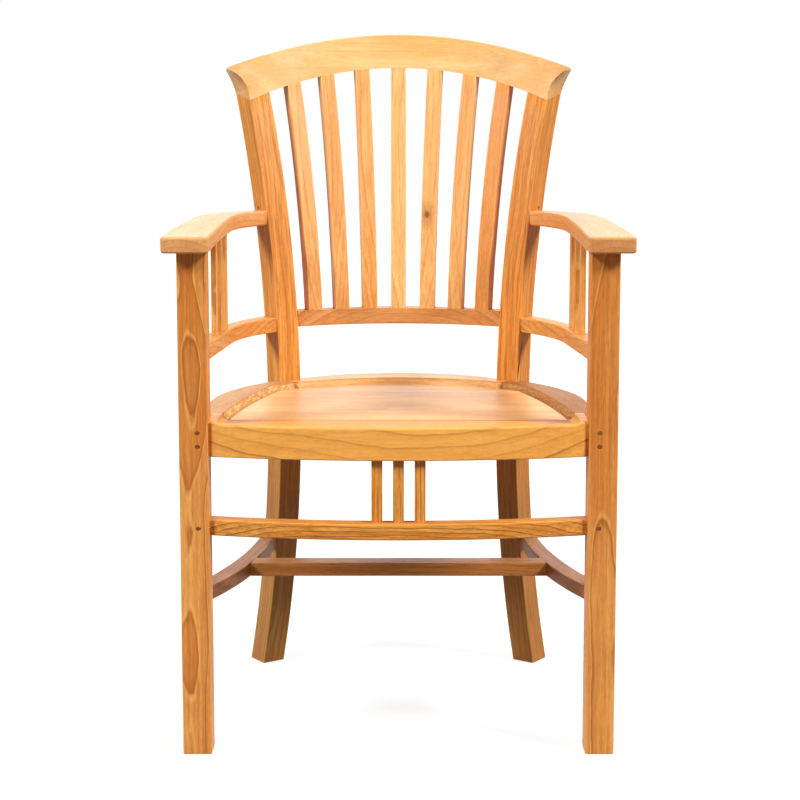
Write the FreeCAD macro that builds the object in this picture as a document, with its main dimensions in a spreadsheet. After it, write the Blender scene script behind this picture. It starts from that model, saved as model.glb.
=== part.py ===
import FreeCAD, Part

import math
import os
import re

import Sketcher
from FreeCAD import Placement, Rotation, Vector

# A teak armchair with a fan back. All lengths are millimetres, all angles degrees.
# The origin is on the floor at the middle of the chair, the chair faces -Y and Z is up.
# The back is one surface of revolution about an upright axis in front of it: the posts,
# the slats and the crest rail all follow the same raked arc, turned about that axis.

SIZES = {
    # the whole chair
    "overall_depth": 605.0,
    "leg_spacing": 533.0,
    "joint_clearance": 0.2,
    "tenon_root": 5.0,
    "end_inset": 2.0,
    "cut_overrun": 20.0,
    "cut_reach": 400.0,

    # front legs
    "leg_size": 38.0,
    "leg_tenon_size": 22.0,
    "leg_tenon_length": 14.0,

    # the raked arc of the back, in the upright plane through the axis
    "back_radius": 300.0,
    "sweep_radius": 1400.0,
    "sweep_height": 395.0,
    "post_angle": 35.0,

    # back posts
    "post_size": 37.0,
    "post_tenon_size": 16.0,

    # crest rail
    "crest_top": 967.0,
    "crest_face_height": 52.0,
    "crest_arch_radius": 635.0,
    "crest_span_angle": 94.0,
    "crest_tenon_length": 16.0,
    "seam_slope": 21.8,
    "seam_radius_share": 1.536,
    "ear_start_drop": 87.0,
    "ear_top_drop": 57.0,
    "ear_flare_front": 29.0,
    "ear_flare_back": 9.0,
    "ear_radius_front": 40.0,
    "ear_radius_back": 90.0,
    "ear_cut_drop": 60.0,
    "ear_cut_reach": 133.0,
    "ear_overrun": 6.2,
    "ear_tip_share": 1.5,

    # lower back rail and slats
    "back_rail_lift": 6.0,
    "back_rail_height": 24.0,
    "back_rail_thickness": 26.0,
    "back_rail_tenon_width": 14.0,
    "back_rail_tenon_height": 16.0,
    "back_rail_tenon_length": 13.0,
    "slat_angle_step": 8.46,
    "slat_width": 22.6,
    "slat_thickness": 19.0,
    "slat_tenon_width": 14.0,
    "slat_tenon_thickness": 8.0,
    "slat_tenon_length": 12.0,

    # armrests
    "arm_overhang": 22.0,
    "arm_front_height": 667.0,
    "arm_rise": 11.5,
    "arm_arch": 5.2,
    "arm_thickness": 21.5,
    "arm_front_width": 62.0,
    "arm_front_shift": 5.5,
    "arm_knee_width": 52.5,
    "arm_knee_shift": 4.5,
    "arm_knee_setback": 230.0,
    "arm_tenon_width": 16.0,
    "arm_tenon_height": 12.0,
    "arm_tenon_length": 14.0,

    # lower arm rails and arm spindles
    "arm_rail_rise_share": 0.336,
    "arm_rail_height": 22.0,
    "arm_rail_width": 22.0,
    "arm_rail_shift": 4.0,
    "arm_rail_splay": 4.9,
    "arm_rail_tenon_width": 10.0,
    "arm_rail_tenon_height": 12.0,
    "arm_rail_tenon_length": 12.0,
    "arm_spindle_width": 8.0,
    "arm_spindle_depth": 14.0,
    "arm_spindle_setback": 193.0,
    "arm_spindle_pitch": 38.0,

    # seat frame
    "seat_top": 447.0,
    "seat_half_width": 262.0,
    "seat_knee_setback": 170.0,
    "seat_back_bow": 67.0,
    "seat_post_cover": 16.0,
    "seat_rail_height": 42.0,
    "seat_tenon_width": 7.0,
    "seat_tenon_height": 22.0,
    "seat_tenon_length": 11.0,
    "apron_height": 47.0,
    "apron_setback": 5.0,
    "apron_back": 72.0,
    "apron_bow": 30.0,
    "apron_tenon_width": 12.0,
    "apron_tenon_height": 34.0,
    "apron_tenon_length": 22.0,
    "apron_scoop": 3.5,
    "apron_scoop_edge": 0.7,

    # dished seat
    "dish_depth": 9.0,
    "dish_half_width": 239.0,
    "dish_side_bow": 11.3,
    "dish_post_gap": 13.0,
    "dish_corner_angle": 43.5,
    "dish_corner_radius": 12.0,
    "board_thickness": 18.0,
    "board_gap": 0.3,
    "ledge_width": 12.0,
    "batten_width": 40.0,

    # front stretcher and its spindles
    "stretcher_bottom": 295.0,
    "stretcher_height": 22.0,
    "stretcher_depth": 24.0,
    "stretcher_setback": 7.0,
    "stretcher_bow": 30.0,
    "stretcher_tenon_height": 12.0,
    "stretcher_tenon_length": 20.0,
    "front_spindle_width": 14.3,
    "front_spindle_depth": 8.0,
    "front_spindle_pitch": 28.0,
    "spindle_shoulder": 1.5,
    "spindle_tenon_length": 8.0,

    # side and cross stretchers
    "side_stretcher_bottom": 198.0,
    "side_stretcher_height": 19.0,
    "side_stretcher_width": 28.0,
    "side_stretcher_bow": 17.5,
    "side_stretcher_tenon_width": 12.0,
    "side_stretcher_tenon_height": 11.0,
    "side_stretcher_tenon_length": 12.0,
    "cross_stretcher_setback": 172.0,
    "cross_stretcher_depth": 32.0,
    "cross_tenon_width": 16.0,
    "cross_tenon_height": 9.0,
    "cross_tenon_reach": 3.0,

    # pegs through the front leg joints
    "peg_radius": 2.6,
    "peg_length": 27.0,
    "peg_proud": 0.3,
    "peg_inset": 14.0,
    "apron_peg_spacing": 18.0,
}

# How many slats the back has, spindles each group has, and flats each peg has.
SLATS = 7
SPINDLES = 3
PEG_FLATS = 12

# Where the joints between the seat boards lie, from the apron to the back of the dish.
BOARD_SEAM_SHARES = (0.0, 0.2, 0.32, 0.47, 0.74, 1.0)

# Places that follow from the sizes.
PLACES = {
    "leg_front": "-overall_depth / 2 + apron_bow - apron_setback",
    "leg_back": "leg_front + leg_size",
    "leg_middle": "leg_front + leg_size / 2",
    "leg_inner": "leg_spacing / 2 - leg_size / 2",
    "leg_outer": "leg_spacing / 2 + leg_size / 2",
    "sweep_centre": "back_radius + sweep_radius",
    "post_half": "post_size / 2",
    "crest_reach": "sweep_centre - sqrt((sweep_radius - post_half) ^ 2"
                   " - (crest_top - sweep_height) ^ 2)",
    "axis_setback": "overall_depth / 2 - crest_reach",
    "crest_bottom": "crest_top - crest_face_height",
    "seam_front": "axis_setback + sweep_centre - sqrt((sweep_radius + post_half) ^ 2"
                  " - (crest_bottom - sweep_height) ^ 2)",
    "seam_radius": "sweep_radius * seam_radius_share",
    "ear_start_height": "crest_top - ear_start_drop",
    "ear_top_height": "crest_top - ear_top_drop",
    "ear_near": "sweep_centre - sqrt((sweep_radius + post_half) ^ 2"
                " - (ear_top_height - sweep_height) ^ 2)",
    "ear_far": "sweep_centre - sqrt((sweep_radius - post_half) ^ 2"
               " - (ear_top_height - sweep_height) ^ 2)",
    "ear_slope": "(ear_flare_front - ear_flare_back) / (ear_far - ear_near)",
    "arm_back_height": "arm_front_height + arm_rise",
    "arm_rail_bottom": "seat_top + arm_rail_rise_share * (arm_front_height - seat_top)",
    "back_rail_bottom": "arm_rail_bottom + back_rail_lift",
    "back_rail_top": "back_rail_bottom + back_rail_height",
    "back_rail_middle": "back_rail_bottom + back_rail_height / 2",
    "back_rail_front": "sweep_centre - sqrt((sweep_radius + post_half) ^ 2"
                       " - (back_rail_top - sweep_height) ^ 2)",
    "back_rail_radius": "back_rail_front + back_rail_thickness / 2",
    "slat_middle": "slat_thickness / 2 - post_half",
    "arm_front": "leg_front - arm_overhang",
    "arm_knee": "leg_front + arm_knee_setback",
    "arm_spindle_top": "(arm_front_height + arm_back_height + arm_thickness) / 2",
    "arm_rail_top": "arm_rail_bottom + arm_rail_height",
    "arm_rail_middle": "arm_rail_bottom + arm_rail_height / 2",
    "arm_rail_line": "leg_spacing / 2 - arm_rail_shift",
    "seat_bottom": "seat_top - seat_rail_height",
    "seat_middle": "seat_top - seat_rail_height / 2",
    "seat_post_reach": "sweep_centre - sqrt((sweep_radius + post_half) ^ 2"
                       " - (seat_middle - sweep_height) ^ 2)",
    "dish_back_radius": "seat_post_reach - dish_post_gap",
    "apron_bottom": "seat_top - apron_height",
    "apron_middle": "seat_top - apron_height / 2",
    "apron_front_line": "leg_front + apron_setback",
    "apron_back_line": "leg_front + apron_back",
    "dish_floor": "seat_top - dish_depth",
    "board_bottom": "dish_floor - board_thickness",
    "dish_back_line": "axis_setback + dish_back_radius - dish_depth",
    "stretcher_top": "stretcher_bottom + stretcher_height",
    "stretcher_middle": "stretcher_bottom + stretcher_height / 2",
    "stretcher_front_line": "leg_front + stretcher_setback",
    "side_stretcher_top": "side_stretcher_bottom + side_stretcher_height",
    "side_stretcher_middle": "side_stretcher_bottom + side_stretcher_height / 2",
    "cross_front_line": "leg_front + cross_stretcher_setback",
}

DOC = FreeCAD.newDocument("PlantersChair")
NODES = {}


def fill_sheet():
    """Puts the sizes and the places that follow from them into one spreadsheet."""
    sheet = DOC.addObject("Spreadsheet::Sheet", "Sizes")
    cells = {name: str(size) for name, size in SIZES.items()}
    cells.update({name: "=" + formula for name, formula in PLACES.items()})
    for row, (name, content) in enumerate(cells.items(), start=1):
        sheet.set(f"A{row}", name)
        sheet.set(f"B{row}", content)
        sheet.setAlias(f"B{row}", name)
    DOC.recompute()
    return sheet


SHEET = fill_sheet()


def bound(formula):
    """Points each size name in a formula at its cell of the sheet."""
    def cell(word):
        name = word.group()
        return "Sizes." + name if name in SIZES or name in PLACES else name
    return re.sub(r"[a-z][a-z_]*", cell, formula)


def measure(formula):
    """The value of a formula, in millimetres or degrees."""
    return float(SHEET.evalExpression(bound(formula)))


def reach(height, offset="0"):
    """Distance of the raked arc from the back's axis at a height, offset to the rear."""
    return (f"(sweep_centre - sqrt((sweep_radius - ({offset})) ^ 2"
            f" - (({height}) - sweep_height) ^ 2))")


def beside_post(distance, side):
    """Plan corner on a side face of the left post: side 1 is the outer face, -1 the inner."""
    across = f"-({distance}) * sin(post_angle) - ({side}) * post_half * cos(post_angle)"
    along = (f"axis_setback + ({distance}) * cos(post_angle)"
             f" - ({side}) * post_half * sin(post_angle)")
    return across, along


def mirrored_corner(corner):
    """The same plan corner on the right-hand side."""
    return f"-({corner[0]})", corner[1]


def turn_radius(start, knee, end):
    """Radius of the arc that leaves the line from start to knee smoothly and meets end."""
    px = f"(({knee[0]}) - ({start[0]}))"
    py = f"(({knee[1]}) - ({start[1]}))"
    dx = f"(({end[0]}) - ({knee[0]}))"
    dy = f"(({end[1]}) - ({knee[1]}))"
    return (f"({dx} ^ 2 + {dy} ^ 2) * sqrt({px} ^ 2 + {py} ^ 2)"
            f" / (2 * abs({px} * {dy} - {py} * {dx}))")


def bow_radius(start, end, bow):
    """Radius of the arc between two corners that stands out from its chord by bow."""
    dx = f"(({end[0]}) - ({start[0]}))"
    dy = f"(({end[1]}) - ({start[1]}))"
    return f"(({dx} ^ 2 + {dy} ^ 2) / (8 * ({bow})) + ({bow}) / 2)"


def arc_centre(start, end, radius, turn):
    """Centre of the short arc from start to end, turning left (1) or right (-1)."""
    chord = end - start
    middle = (start + end) / 2
    aside = Vector(-chord.y, chord.x, 0).normalize()
    return middle + aside * turn * math.sqrt(radius ** 2 - (chord.Length / 2) ** 2)


def outline(body, plane, corners, lift="0"):
    """Draws a closed outline on an origin plane of a body, lifted off it."""
    sketch = body.newObject("Sketcher::SketchObject", body.Name + "Outline")
    support = [face for face in body.Origin.OriginFeatures if face.Role == plane]
    sketch.AttachmentSupport = (support[0], "")
    sketch.MapMode = "FlatFace"
    sketch.setExpression("AttachmentOffset.Base.z", bound(lift))
    return draw(sketch, corners)


def draw(sketch, corners):
    """Draws a closed outline in a sketch.

    Each corner is (across, up) or (across, up, radius, turn), where the last two describe
    an arc from this corner to the next. All are formulas except turn, which is 1 or -1.
    """
    points = [Vector(measure(corner[0]), measure(corner[1]), 0) for corner in corners]
    ends = []
    for index, corner in enumerate(corners):
        start, end = points[index], points[(index + 1) % len(points)]
        if len(corner) == 2:
            edge = sketch.addGeometry(Part.LineSegment(start, end))
            ends.append((edge, 1, 2))
            continue
        radius, turn = measure(corner[2]), corner[3]
        centre = arc_centre(start, end, radius, turn)
        first, last = (start, end) if turn > 0 else (end, start)
        angles = [math.atan2(point.y - centre.y, point.x - centre.x) for point in (first, last)]
        circle = Part.Circle(centre, Vector(0, 0, 1), radius)
        edge = sketch.addGeometry(Part.ArcOfCircle(circle, *angles))
        ends.append((edge, 1, 2) if turn > 0 else (edge, 2, 1))
        bind(sketch, Sketcher.Constraint("Radius", edge, radius), corner[2])
    for index, (edge, start, _) in enumerate(ends):
        before, _, finish = ends[index - 1]
        sketch.addConstraint(Sketcher.Constraint("Coincident", before, finish, edge, start))
        for kind, value, formula in (("DistanceX", points[index].x, corners[index][0]),
                                     ("DistanceY", points[index].y, corners[index][1])):
            bind(sketch, Sketcher.Constraint(kind, edge, start, value), formula)
    return sketch


def bind(sketch, constraint, formula):
    """Adds a constraint whose value follows a formula."""
    index = sketch.addConstraint(constraint)
    sketch.setExpression(f"Constraints[{index}]", bound(formula))


def new_body(name, across="0", along="0", up="0", turn_axis=Vector(0, 0, 1), turn="0"):
    """A body placed and turned by formulas."""
    body = DOC.addObject("PartDesign::Body", name)
    body.Placement = Placement(Vector(), Rotation(turn_axis, measure(turn)))
    if turn != "0":
        body.setExpression("Placement.Rotation.Angle", bound(turn))
    for letter, formula in zip("xyz", (across, along, up)):
        body.setExpression("Placement.Base." + letter, bound(formula))
    return body


def pad(body, sketch, length, both_ways=False):
    """Thickens an outline, up from its plane or to both sides of it."""
    feature = body.newObject("PartDesign::Pad", body.Name + "Pad")
    feature.Profile = sketch
    feature.SideType = "Symmetric" if both_ways else "One side"
    feature.setExpression("Length", bound(length))
    return feature


def plank(name, corners, bottom, height):
    """A piece sawn to a plan outline, with flat top and bottom."""
    body = new_body(name)
    pad(body, outline(body, "XY_Plane", corners, bottom), height)
    return body


def swept_stick(name, bottom, top, thickness, width, angle, middle="0"):
    """A stick that follows the raked arc of the back, turned about the back's axis.

    Its middle lies behind the arc by middle.
    """
    body = new_body(name, along="axis_setback", turn=angle)
    front, rear = f"({middle} - {thickness} / 2)", f"({middle} + {thickness} / 2)"
    corners = [
        (reach(bottom, front), bottom),
        (reach(bottom, rear), bottom, f"sweep_radius - {rear}", -1),
        (reach(top, rear), top),
        (reach(top, front), top, f"sweep_radius - {front}", 1),
    ]
    pad(body, outline(body, "YZ_Plane", corners), width, both_ways=True)
    return body


def block(name, low, high, turn="0", along="0"):
    """A box between two corners in a frame turned about an upright line."""
    box = DOC.addObject("Part::Box", name)
    box.Placement = Placement(Vector(), Rotation(Vector(0, 0, 1), measure(turn)))
    if turn != "0":
        box.setExpression("Placement.Rotation.Angle", bound(turn))
    for side, first, last in zip(("Length", "Width", "Height"), low, high):
        box.setExpression(side, bound(f"({last}) - ({first})"))
    across, deep = f"({low[0]})", f"({low[1]})"
    box.setExpression("Placement.Base.x", bound(f"{across} * cos({turn}) - {deep} * sin({turn})"))
    box.setExpression("Placement.Base.y",
                      bound(f"{along} + {across} * sin({turn}) + {deep} * cos({turn})"))
    box.setExpression("Placement.Base.z", bound(low[2]))
    return box


def joint(name, low, high, turn="0", along="0"):
    """A tenon and the slightly larger mortise that takes it, as a pair of boxes."""
    tenon = block(name + "Tenon", low, high, turn, along)
    mortise = block(name + "Mortise", [f"{value} - joint_clearance" for value in low],
                    [f"{value} + joint_clearance" for value in high], turn, along)
    return tenon, mortise


def cut(name, base, *tools):
    """What is left of base when each tool is taken out of it in turn."""
    for index, tool in enumerate(tools):
        feature = DOC.addObject("Part::Cut", f"{name}Cut{index}")
        feature.Base, feature.Tool = base, tool
        base = feature
    return base


def fuse(name, *shapes):
    """Several overlapping shapes made one."""
    feature = DOC.addObject("Part::MultiFuse", name + "Fuse")
    feature.Shapes = list(shapes)
    return feature


def common(name, *shapes):
    """What several shapes share."""
    feature = DOC.addObject("Part::MultiCommon", name + "Common")
    feature.Shapes = list(shapes)
    return feature


def group(name, *shapes):
    """Several separate solids under one name."""
    feature = DOC.addObject("Part::Compound", name + "Group")
    feature.Links = list(shapes)
    return feature


def mirror(shape):
    """The same piece for the right-hand side."""
    feature = DOC.addObject("Part::Mirroring", shape.Name + "Mirrored")
    feature.Source = shape
    feature.Normal = Vector(1, 0, 0)
    return feature


def keep(node, shape):
    """Names a finished piece."""
    shape.Label = node
    NODES[node] = shape


def keep_pair(node, shape):
    """Names a left-hand piece and makes its right-hand twin."""
    keep(node + "_left", shape)
    keep(node + "_right", mirror(shape))


def tenon_box(across, deep, up, width, height, tip, root):
    """Corners of a tenon that runs along the first axis from its tip to its root."""
    low = [tip, f"{deep} - {width} / 2", f"{up} - {height} / 2"]
    high = [root, f"{deep} + {width} / 2", f"{up} + {height} / 2"]
    return low, high


def arched_cutter(name, radius, above, **place):
    """A wide tool bounded by an arch that runs front to back, above it or below it."""
    body = new_body(name, **place)
    edge = f"sqrt({radius} ^ 2 - cut_reach ^ 2) - {radius}"
    far = "cut_reach / 2" if above else "-cut_reach / 2"
    corners = [("-cut_reach", edge, radius, -1), ("cut_reach", edge),
               ("cut_reach", far), ("-cut_reach", far)]
    pad(body, outline(body, "XZ_Plane", corners), "2 * cut_reach", both_ways=True)
    return body


def seam_cutter(name, above, lift="0"):
    """A tool bounded by the slanting seam under the crest rail, raised by lift."""
    return arched_cutter(name, "seam_radius", above, along="seam_front",
                         up=f"crest_bottom + {lift}", turn_axis=Vector(1, 0, 0),
                         turn="seam_slope")


def upright(across, along, bottom, top, width, depth):
    """Corners of an upright bar of oblong section centred on a plan point."""
    low = [f"{across} - {width} / 2", f"{along} - {depth} / 2", bottom]
    high = [f"{across} + {width} / 2", f"{along} + {depth} / 2", top]
    return low, high


def post_joint(name, side, deep, up, width, height, length):
    """A tenon that enters a side face of the left post: side 1 is the outer face."""
    tip, root = f"post_half - {length}", "post_half + tenon_root"
    if side > 0:
        tip, root = "-post_half - tenon_root", f"-post_half + {length}"
    return joint(name, *tenon_box("0", deep, up, width, height, tip, root),
                 turn="post_angle", along="axis_setback")


def leg_joint(name, along, up, width, height, length):
    """A tenon that enters the inner face of the left front leg."""
    return joint(name, *tenon_box("0", along, up, width, height,
                                  f"-leg_inner - {length}", "-leg_inner + tenon_root"))


def leg_back_joint(name, across, up, width, height, length):
    """A tenon that enters the back face of the left front leg."""
    low = [f"{across} - {width} / 2", f"leg_back - {length}", f"{up} - {height} / 2"]
    high = [f"{across} + {width} / 2", "leg_back + tenon_root", f"{up} + {height} / 2"]
    return joint(name, low, high)


def curved_rail(name, outer, inner, bottom, height):
    """A left-hand rail that runs straight back to a knee, then curves onto the post.

    The outer and the inner edge are each given as their front, knee and end corners.
    """
    corners = [outer[0], (*outer[1], turn_radius(*outer), -1), outer[2],
               (*inner[2], turn_radius(*inner), 1), inner[1], inner[0]]
    return plank(name, corners, bottom, height)


def post_corner(height, side):
    """Where a rail at a height stops on the outer face of the left post."""
    edge = reach(height, f"({side}) * post_half")
    return beside_post(f"({edge} - ({side}) * end_inset)", 1)


# Armrest: a plan outline cut to an arched side profile.
ARM_MIDDLE = "(arm_back_height + arm_thickness / 2)"


def arm_edge(side):
    """Front, knee and end corners of an edge of the left armrest: side 1 is the outer."""
    front = f"-(leg_spacing / 2 + arm_front_shift + ({side}) * arm_front_width / 2)"
    knee = f"-(leg_spacing / 2 - arm_knee_shift + ({side}) * arm_knee_width / 2)"
    return (front, "arm_front"), (knee, "arm_knee"), post_corner(ARM_MIDDLE, side)


def arm_blank():
    """The left armrest before its joints are cut."""
    board = curved_rail("ArmBoard", arm_edge(1), arm_edge(-1),
                        "arm_front_height - cut_overrun",
                        "arm_rise + arm_thickness + 2 * cut_overrun")
    profile = new_body("ArmProfile")
    front = ("arm_front", "arm_front_height")
    back = (f"{arm_edge(1)[2][1]} + post_half", "arm_back_height")
    radius = bow_radius(front, back, "arm_arch")
    corners = [(*front, radius, -1), back,
               (back[0], "arm_back_height + arm_thickness", radius, 1),
               (front[0], "arm_front_height + arm_thickness")]
    pad(profile, outline(profile, "YZ_Plane", corners), "2 * cut_reach", both_ways=True)
    return common("Arm", board, profile)


ARM = arm_blank()
ARM_TO_POST = post_joint(
    "ArmPost", 1, f"({reach(ARM_MIDDLE, 'post_half')} + {reach(ARM_MIDDLE, '-post_half')}) / 2",
    ARM_MIDDLE, "arm_tenon_width", "arm_tenon_height", "arm_tenon_length")
LEG_TO_ARM = joint("LegArm", *upright(
    "-leg_spacing / 2", "leg_middle", "arm_front_height - tenon_root",
    "arm_front_height + leg_tenon_length", "leg_tenon_size", "leg_tenon_size"))

# Lower arm rail, level with the lower back rail.
ARM_RAIL_SPLAY = "(({}) - leg_back) * tan(arm_rail_splay)"


def arm_rail_edge(side):
    """Front, knee and end corners of an edge of the left arm rail: side 1 is the outer."""
    front = f"-(arm_rail_line + ({side}) * arm_rail_width / 2)"
    knee = f"{front} + {ARM_RAIL_SPLAY.format('arm_knee')}"
    return (front, "leg_back"), (knee, "arm_knee"), post_corner("arm_rail_middle", side)


ARM_RAIL = curved_rail("ArmRail", arm_rail_edge(1), arm_rail_edge(-1),
                       "arm_rail_bottom", "arm_rail_height")
ARM_RAIL_TO_LEG = leg_back_joint("ArmRailLeg", "-arm_rail_line", "arm_rail_middle",
                                 "arm_rail_tenon_width", "arm_rail_tenon_height",
                                 "arm_rail_tenon_length")
ARM_RAIL_TO_POST = post_joint("ArmRailPost", 1, reach("arm_rail_middle"), "arm_rail_middle",
                              "arm_rail_tenon_width", "arm_rail_tenon_height",
                              "arm_rail_tenon_length")


def arm_spindles():
    """Three flat spindles between the arm rail and the armrest, and their mortises."""
    mortises = []
    for number in range(1, SPINDLES + 1):
        step = number - (SPINDLES + 1) / 2
        along = f"(leg_front + arm_spindle_setback + ({step}) * arm_spindle_pitch)"
        across = f"-(arm_rail_line - {ARM_RAIL_SPLAY.format(along)})"
        blank = block(f"ArmSpindle{number}", *upright(
            across, along, "arm_rail_top", "arm_spindle_top",
            "arm_spindle_width", "arm_spindle_depth"))
        core, mortise = joint(f"ArmSpindle{number}", *upright(
            across, along, "arm_rail_top - spindle_tenon_length",
            "arm_back_height + spindle_tenon_length",
            "(arm_spindle_width - 2 * spindle_shoulder)",
            "(arm_spindle_depth - 2 * spindle_shoulder)"))
        spindle = fuse(f"ArmSpindle{number}", cut(f"ArmSpindle{number}", blank, ARM), core)
        keep(f"arm_spindle_left_{number}", spindle)
        keep(f"arm_spindle_right_{number}", mirror(spindle))
        mortises.append(mortise)
    return mortises


ARM_SPINDLE_MORTISES = arm_spindles()
keep_pair("armrest", cut("Armrest", fuse("Armrest", ARM, ARM_TO_POST[0]),
                         LEG_TO_ARM[1], *ARM_SPINDLE_MORTISES))
keep_pair("arm_rail", cut("ArmRailJoints",
                          fuse("ArmRail", ARM_RAIL, ARM_RAIL_TO_LEG[0], ARM_RAIL_TO_POST[0]),
                          *ARM_SPINDLE_MORTISES))

# Back: the posts, the slats and the crest rail share the raked arc about one axis.
SEAM_ABOVE = seam_cutter("SeamAbove", above=True)
SEAM_BELOW = seam_cutter("SeamBelow", above=False)
TENONS_ABOVE = seam_cutter("TenonsAbove", above=True, lift="crest_tenon_length")
MORTISES_ABOVE = seam_cutter("MortisesAbove", above=True,
                             lift="crest_tenon_length + joint_clearance")


def crest_core(name, bottom, thickness, width, angle, middle="0"):
    """A tenon core that rises into the crest rail, and the mortise that takes it."""
    core = swept_stick(name + "Core", bottom, "crest_top", thickness, width, angle, middle)
    hole = swept_stick(name + "Hole", f"{bottom} - joint_clearance", "crest_top",
                       f"({thickness} + 2 * joint_clearance)",
                       f"({width} + 2 * joint_clearance)", angle, middle)
    return cut(name + "Core", core, TENONS_ABOVE), cut(name + "Hole", hole, MORTISES_ABOVE)


def back_slats():
    """The slats, fanned between the lower back rail and the crest rail, flush with both."""
    mortises = []
    for number in range(1, SLATS + 1):
        angle = f"{(SLATS + 1) / 2 - number} * slat_angle_step"
        name = f"Slat{number}"
        blank = swept_stick(name, "back_rail_top", "crest_top",
                            "slat_thickness", "slat_width", angle, "slat_middle")
        core, mortise = crest_core(name, "(back_rail_top - slat_tenon_length)",
                                   "slat_tenon_thickness", "slat_tenon_width", angle,
                                   "slat_middle")
        keep(f"back_slat_{number}", fuse(name, cut(name, blank, SEAM_ABOVE), core))
        mortises.append(mortise)
    return mortises


def ear_cutter():
    """Takes away everything outside the flared left ear of the crest rail."""
    body = new_body("EarCutter", along="axis_setback", turn="post_angle")
    near = ("(ear_near - post_size)", "(ear_flare_front + ear_slope * post_size)",
            "ear_radius_front")
    far = ("(ear_far + ear_overrun)", "(ear_flare_back - ear_slope * ear_overrun)",
           "ear_radius_back")
    sections = []
    for distance, flare, curve in (near, far):
        corners = [("-post_half", "ear_start_height - ear_cut_drop"),
                   ("-post_half", "ear_start_height", curve, 1),
                   (f"-post_half - {flare}", "ear_top_height"),
                   (f"-post_half - {flare}", "crest_top + cut_overrun"),
                   ("-ear_cut_reach", "crest_top + cut_overrun"),
                   ("-ear_cut_reach", "ear_start_height - ear_cut_drop")]
        sections.append(outline(body, "XZ_Plane", corners, f"-{distance}"))
    loft = body.newObject("PartDesign::AdditiveLoft", "EarLoft")
    loft.Profile = sections[0]
    loft.Sections = sections[1:]
    loft.Ruled = True
    return body


def crest_blank():
    """The crest rail before its joints: turned about the axis, arched above and below."""
    body = new_body("CrestTurned", along="axis_setback")
    bottom, top = "(ear_start_height - cut_overrun)", "(crest_top + cut_overrun)"
    corners = [(reach(bottom, "-post_half"), bottom),
               (reach(bottom, "post_half"), bottom, "sweep_radius - post_half", -1),
               (reach(top, "post_half"), top),
               (reach(top, "-post_half"), top, "sweep_radius + post_half", 1)]
    section = outline(body, "YZ_Plane", corners)
    turned = body.newObject("PartDesign::Revolution", "CrestRevolution")
    turned.Profile = section
    turned.ReferenceAxis = (section, ["V_Axis"])
    turned.Midplane = True
    turned.setExpression("Angle", bound("crest_span_angle"))
    top_arch = arched_cutter("TopArch", "crest_arch_radius", True, up="crest_top")
    ear = ear_cutter()
    tip = "-post_half - ear_tip_share * ear_flare_front"
    beyond = block("BeyondEar", ("-cut_reach", "0", bottom), (tip, "2 * cut_reach", top),
                   turn="post_angle", along="axis_setback")
    return cut("CrestBlank", body, top_arch, SEAM_BELOW, ear, mirror(ear),
               beyond, mirror(beyond))


SLAT_MORTISES = back_slats()
POST = swept_stick("Post", "0", "crest_top", "post_size", "post_size", "post_angle")
POST_TO_CREST = crest_core("Post", "(arm_back_height + arm_thickness)",
                           "post_tenon_size", "post_tenon_size", "post_angle")
keep("crest_rail", cut("Crest", crest_blank(), POST_TO_CREST[1], mirror(POST_TO_CREST[1]),
                       *SLAT_MORTISES))


def lower_back_rail():
    """The curved rail that carries the feet of the slats."""
    front = "(back_rail_radius - back_rail_thickness / 2)"
    back = "(back_rail_radius + back_rail_thickness / 2)"
    near, far = (beside_post(f"sqrt({radius} ^ 2 - post_half ^ 2)", -1)
                 for radius in (front, back))
    corners = [(*near, front, -1), mirrored_corner(near),
               (*mirrored_corner(far), back, 1), far]
    return plank("BackRail", corners, "back_rail_bottom", "back_rail_height")


BACK_RAIL_TO_POST = post_joint("BackRailPost", -1, "back_rail_radius",
                               "back_rail_middle",
                               "back_rail_tenon_width", "back_rail_tenon_height",
                               "back_rail_tenon_length")
keep("lower_back_rail", cut("BackRailJoints",
                            fuse("BackRail", lower_back_rail(), BACK_RAIL_TO_POST[0],
                                 mirror(BACK_RAIL_TO_POST[0])),
                            *SLAT_MORTISES))


# Seat: a front rail between the legs, side and back rails round the posts, boards within.
def bowed_bar(name, front_line, depth, bow, bottom, height):
    """A bar between the front legs whose front and back faces bow forward alike."""
    left, right = ("-leg_inner", front_line), ("leg_inner", front_line)
    radius = bow_radius(left, right, bow)
    corners = [(*left, radius, 1), right,
               (right[0], f"{front_line} + {depth}", radius, -1),
               (left[0], f"{front_line} + {depth}")]
    return plank(name, corners, bottom, height)


def apron_blank():
    """The front seat rail before its top is scooped: bowed in front, straight behind."""
    left, right = ("-leg_inner", "apron_front_line"), ("leg_inner", "apron_front_line")
    corners = [(*left, bow_radius(left, right, "apron_bow"), 1), right,
               ("leg_inner", "apron_back_line"), ("-leg_inner", "apron_back_line")]
    return plank("Apron", corners, "apron_bottom", "apron_height")


DISH_FRONT = ("-dish_half_width", "leg_front")
DISH_CORNER = ("-dish_back_radius * sin(dish_corner_angle)",
               "axis_setback + dish_back_radius * cos(dish_corner_angle)")
DISH_SIDE_RADIUS = bow_radius(DISH_FRONT, DISH_CORNER, "dish_side_bow")
DISH_OUTLINE = [(*DISH_FRONT, DISH_SIDE_RADIUS, -1), (*DISH_CORNER, "dish_back_radius", -1),
                (*mirrored_corner(DISH_CORNER), DISH_SIDE_RADIUS, -1),
                mirrored_corner(DISH_FRONT)]


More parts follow.
